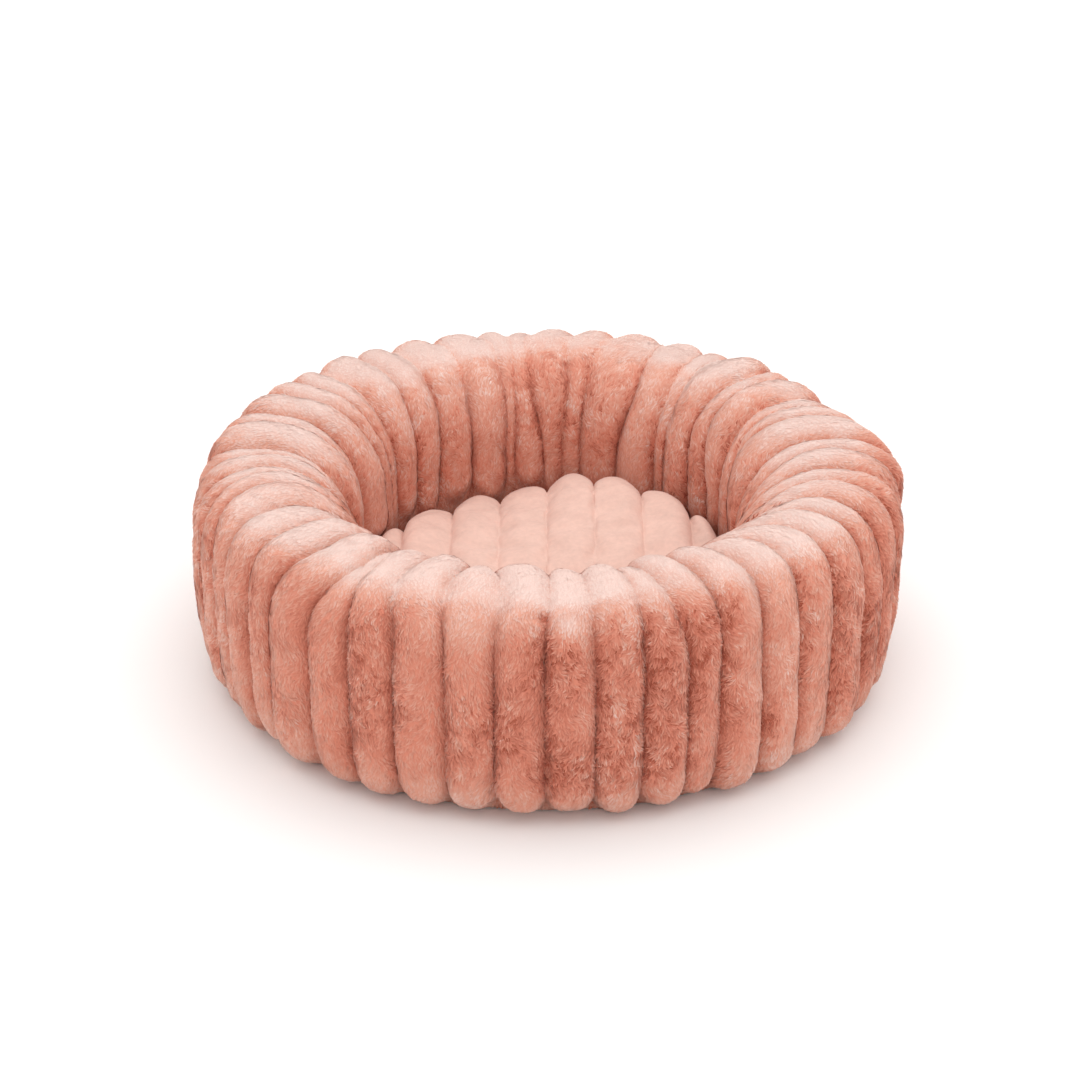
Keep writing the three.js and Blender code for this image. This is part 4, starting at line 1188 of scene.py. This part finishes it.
def underside(sizes, rows, angles, inset, thickness):
    """The cushion's lower side: height = seam - drop * (1 - share^8)^(1/3), flat in the middle, round at the
    edge, with a radius that follows the scalloped edge more and more outwards, by share^6."""
    share = rows / rows[0]
    seam = cushion_seam(sizes)
    drop = seam - CUSHION_BASE - HAIR - thickness
    scalloped = scalloped_edge(sizes, angles, inset) / rows[0] - 1
    radius = rows[:, None] * (1 + (share[:, None] ** 6) * scalloped)
    return radius, (seam - drop * np.cbrt(1 - share ** 8))[:, None]


def make_cushion_base(sizes, finishes):
    """The cushion's underside: a round cloth whose slot is turned up to the zip's tape, and which curves up
    to the seam. Outside the slot its rows lie at lip + (edge - lip) * sin(share), closer together at the
    edge."""
    lip, edge = CUSHION_ZIP.lip_edge, sizes.cushion_radius
    outside = lip + (edge - lip) * np.sin(np.linspace(math.pi / 2, 0, 22))[:-1]
    rows = slotted_rows(CUSHION_ZIP, outside, 16)
    angles = slotted_angles(CUSHION_ZIP, 80, 220)
    rise = CUSHION_ZIP.tape_base - HAIR - CUSHION_BASE - sizes.ground_thickness
    lift = slot_lift(CUSHION_ZIP, rows, angles, rise)
    edge_inset = 0.0024
    low_r, low_z = underside(sizes, rows, angles, 0.0, 0.0)
    high_r, high_z = underside(sizes, rows, angles, edge_inset, sizes.ground_thickness)
    ripple_edge, ripple_fade = 0.13, 0.03
    middle = np.clip((ripple_edge - rows) / ripple_fade, 0, 1)[:, None]
    ripple = 0.0003 * lumps(stand(rows, 0 * rows, angles), 0.025, 72) * middle * (lift == 0)
    lower = stand(low_r, low_z + lift + ripple, angles)
    upper = stand(high_r, high_z + lift + ripple, angles)
    base = slab("cushion_underside", upper, lower, slot_cells(CUSHION_ZIP, rows, angles), wrap=True)
    fit_out(base, finishes.cloth, "cushion", ["cushion_bottom"])


def make_cushion_fill(sizes, finishes):
    """The cushion's stuffing: its upper side drawn in, over seam - (seam - bottom) * (1 - share^8)^(1/3),
    which is raised over the zip."""
    each, rows = 8, 61
    room, below_plush, thinnest = 0.0022, 0.001, 0.0001
    inset = sizes.plush_thickness + room
    upper = cushion_top_points(sizes, inset, each, rows)
    x, y, share, _, _ = cushion_grid(sizes, inset, each, rows)
    seam = cushion_seam(sizes)
    bottom = CUSHION_BASE + sizes.ground_thickness + 2 * HAIR
    z = seam - (seam - bottom) * np.cbrt(1 - share ** 8)
    groove = CUSHION_ZIP.groove(np.hypot(x, y), np.arctan2(y, x), share=1.4, width=0.01)
    roof = bottom + (CUSHION_ZIP.groove_top - bottom) * groove
    lower = np.stack([x, y, np.maximum(z, roof)], axis=-1)
    upper[..., 2] = np.maximum(upper[..., 2] - below_plush, lower[..., 2] + thinnest)
    fill = slab("cushion_stuffing", upper, lower)
    fit_out(fill, finishes.fibre, "cushion", ["cushion_fill"])


class ClothFinishes:
    """The finishes of everything but the fur."""

    def __init__(self, colours):
        plush = Finish("cushion_plush", colours.cushion, 0.85, sheen=0.35, sheen_tint=(1, 0.9, 0.86))
        shade = plush.noise(42, 3, 0.6) * 0.6 + plush.noise(230, 2, 0.6) * 0.4
        tone = plush.ramp(shade, 0.3, 0.7)
        plush.colour(plush.blend(tone, rgba(colours.cushion, 0.86), rgba(colours.cushion, 1.06)))
        plush.bump(plush.noise(1500, 2, 0.7) * 0.5 + plush.noise(420, 2, 0.5), 0.0005, 0.5)
        self.plush = plush.material
        self.cloth = self.woven("backing_cloth", colours.cloth, 0.85, 1250, 0.0002)
        self.ground = self.woven("ground_cloth", colours.ground, 0.6, 800, 0.0003)
        self.tape = self.woven("zip_tape", colours.tape, 0.8, 1700, 0.00015)
        fibre = Finish("fibre_fill", (0.88, 0.87, 0.84), 1.0, sheen=0.3)
        strands = fibre.noise(120, 6, 0.75, fibre.stretched((1.0, 2.2, 3.5)))
        tone = fibre.ramp(strands, 0.3, 0.7)
        fibre.colour(fibre.blend(tone, rgba((0.74, 0.73, 0.70)), rgba((0.93, 0.92, 0.90))))
        fibre.bump(strands, 0.002, 0.8)
        self.fibre = fibre.material
        coil = Finish("zip_coil", tuple(0.8 * part for part in colours.tape), 0.35)
        coil.roughness(coil.ramp(coil.noise(900, 2), 0.3, 0.7) * 0.2 + 0.3)
        self.coil = coil.material
        metal = Finish("zip_metal", colours.metal, 0.35, metallic=0.85)
        wear = metal.ramp(metal.noise(700, 4, 0.7), 0.42, 0.72)
        metal.colour(metal.blend(wear, rgba(colours.metal), rgba(colours.metal, 1.35)))
        metal.roughness(wear * 0.25 + 0.28)
        metal.bump(metal.noise(1800, 2), 0.00005, 0.3)
        self.metal = metal.material
        thread = Finish("thread", tuple(0.85 * part for part in colours.ground), 0.7)
        thread.bump(thread.noise(2600, 2), 0.0001, 0.5)
        self.thread = thread.material

    def woven(self, name, colour, roughness, threads, height):
        """Plain weave: sin(x) * sin(y) gives each crossing a top, and noise makes the threads uneven."""
        finish = Finish(name, colour, roughness, sheen=0.15)
        place = finish.place()
        x, y, z = (finish.node("ShaderNodeSeparateXYZ", sockets={0: place}, output=part) for part in "XYZ")
        across = ((x + z * 0.5) * (threads * 2)).sine()
        along = ((y + z * 0.5) * (threads * 2)).sine()
        weave = across * along
        uneven = finish.noise(260, 3, 0.6)
        tone = finish.ramp(weave * 0.25 + uneven, 0.25, 0.85)
        finish.colour(finish.blend(tone, rgba(colour, 0.78), rgba(colour, 1.15)))
        finish.bump(weave + uneven * 0.6, height, 0.7)
        return finish.material


class PETBED_OT_sleeve(Operator):
    """Make the ribbed sleeve of the rim"""

    bl_idname = "petbed.sleeve"
    bl_label = "Sleeve"

    def execute(self, context):
        make_sleeve(context.scene.bed_sizes, FurFinish(context.scene.bed_colours))
        return {"FINISHED"}


class PETBED_OT_inside(Operator):
    """Make the rim's backing and stuffing"""

    bl_idname = "petbed.inside"
    bl_label = "Backing and stuffing"

    def execute(self, context):
        finishes = ClothFinishes(context.scene.bed_colours)
        make_lining(context.scene.bed_sizes, finishes.cloth)
        make_stuffing(context.scene.bed_sizes, finishes.fibre)
        return {"FINISHED"}


class PETBED_OT_base(Operator):
    """Make the ground cloth, the hem tapes, the floor pad and its cloth"""

    bl_idname = "petbed.base"
    bl_label = "Ground cloth and floor"

    def execute(self, context):
        sizes, finishes = context.scene.bed_sizes, ClothFinishes(context.scene.bed_colours)
        make_ground_cloth(sizes, finishes.ground, finishes.thread)
        make_tapes(sizes, finishes.tape)
        make_floor(sizes, finishes)
        return {"FINISHED"}


class PETBED_OT_zips(Operator):
    """Make both zips: tapes, coils, stops, sliders and the pull"""

    bl_idname = "petbed.zips"
    bl_label = "Zips"

    def execute(self, context):
        finishes = ClothFinishes(context.scene.bed_colours)
        for zipped in (RIM_ZIP, CUSHION_ZIP):
            make_zip(context.scene.bed_sizes, zipped, finishes)
        make_fittings(finishes.metal)
        return {"FINISHED"}


class PETBED_OT_cushion(Operator):
    """Make the loose cushion"""

    bl_idname = "petbed.cushion"
    bl_label = "Cushion"

    def execute(self, context):
        make_cushion(context.scene.bed_sizes, ClothFinishes(context.scene.bed_colours))
        return {"FINISHED"}


def place_floor():
    """A sheet of paper under the bed, wider than the camera sees."""
    reach, drop = 30.0, 0.0006
    plan = reach * np.array([(-1, -1), (1, -1), (1, 1), (-1, 1)])
    corners = np.column_stack([plan, np.full(4, -drop)])
    floor = new_piece("floor", corners, np.array([[0, 1, 2, 3]]))
    paper = Finish("floor_paper", (0.93, 0.925, 0.92), 0.9)
    floor.data.materials.append(paper.material)


def place_lights(scene):
    """An even white studio, with one wide soft lamp from above, a little behind and to the right."""
    world = scene.world or bpy.data.worlds.new("studio")
    scene.world = world
    world.use_nodes = True
    background = world.node_tree.nodes["Background"]
    background.inputs["Color"].default_value = (1, 0.995, 0.99, 1)
    background.inputs["Strength"].default_value = 0.98
    softbox = bpy.data.lights.new("softbox", "SUN")
    softbox.energy = 1.1
    softbox.angle = math.radians(75)
    softbox.color = (1, 0.985, 0.965)
    lamp = bpy.data.objects.new("softbox", softbox)
    lamp.rotation_euler = Vector((0.10, 0.12, 1)).to_track_quat("Z", "Y").to_euler()
    scene.collection.objects.link(lamp)


def place_camera(scene):
    """The photograph's camera: its focal length and its shift are in pixels of a picture with this side."""
    side, focal, shift_x, shift_y = 1080, 2930, -6.8, 11.5
    elevation, distance = math.radians(27.5), 2.49
    target = Vector((0, 0, 0.09))
    back = Vector((0, -math.cos(elevation), math.sin(elevation)))
    lens = bpy.data.cameras.new("camera")
    lens.sensor_width = 36
    lens.lens = 36 * focal / side
    lens.shift_x = shift_x / side
    lens.shift_y = shift_y / side
    lens.clip_end = 100
    camera = bpy.data.objects.new("camera", lens)
    camera.location = target + back * distance
    camera.rotation_euler = back.to_track_quat("Z", "Y").to_euler()
    scene.collection.objects.link(camera)
    scene.camera = camera


class PETBED_OT_stage(Operator):
    """Make the floor, the lights and the camera"""

    bl_idname = "petbed.stage"
    bl_label = "Stage"

    def execute(self, context):
        context.scene.view_settings.view_transform = "Standard"
        place_floor()
        place_lights(context.scene)
        place_camera(context.scene)
        return {"FINISHED"}


class PETBED_PT_panel(Panel):
    """Lists the bed's pieces in the 3D view's sidebar"""

    bl_label = "Pet bed"
    bl_space_type = "VIEW_3D"
    bl_region_type = "UI"
    bl_category = "Pet bed"

    def draw(self, context):
        for operator in OPERATORS:
            self.layout.operator(operator.bl_idname)


OPERATORS = (
    PETBED_OT_stage, PETBED_OT_sleeve, PETBED_OT_inside, PETBED_OT_base, PETBED_OT_zips, PETBED_OT_cushion,
)
CLASSES = (BedSizes, BedColours, *OPERATORS, PETBED_PT_panel)


def register():
    for each in CLASSES:
        bpy.utils.register_class(each)
    bpy.types.Scene.bed_sizes = PointerProperty(type=BedSizes)
    bpy.types.Scene.bed_colours = PointerProperty(type=BedColours)


def unregister():
    del bpy.types.Scene.bed_sizes
    del bpy.types.Scene.bed_colours
    for each in reversed(CLASSES):
        bpy.utils.unregister_class(each)


def main():
    register()
    for operator in OPERATORS:
        group, name = operator.bl_idname.split(".")
        getattr(getattr(bpy.ops, group), name)()


if __name__ == "__main__":
    main()
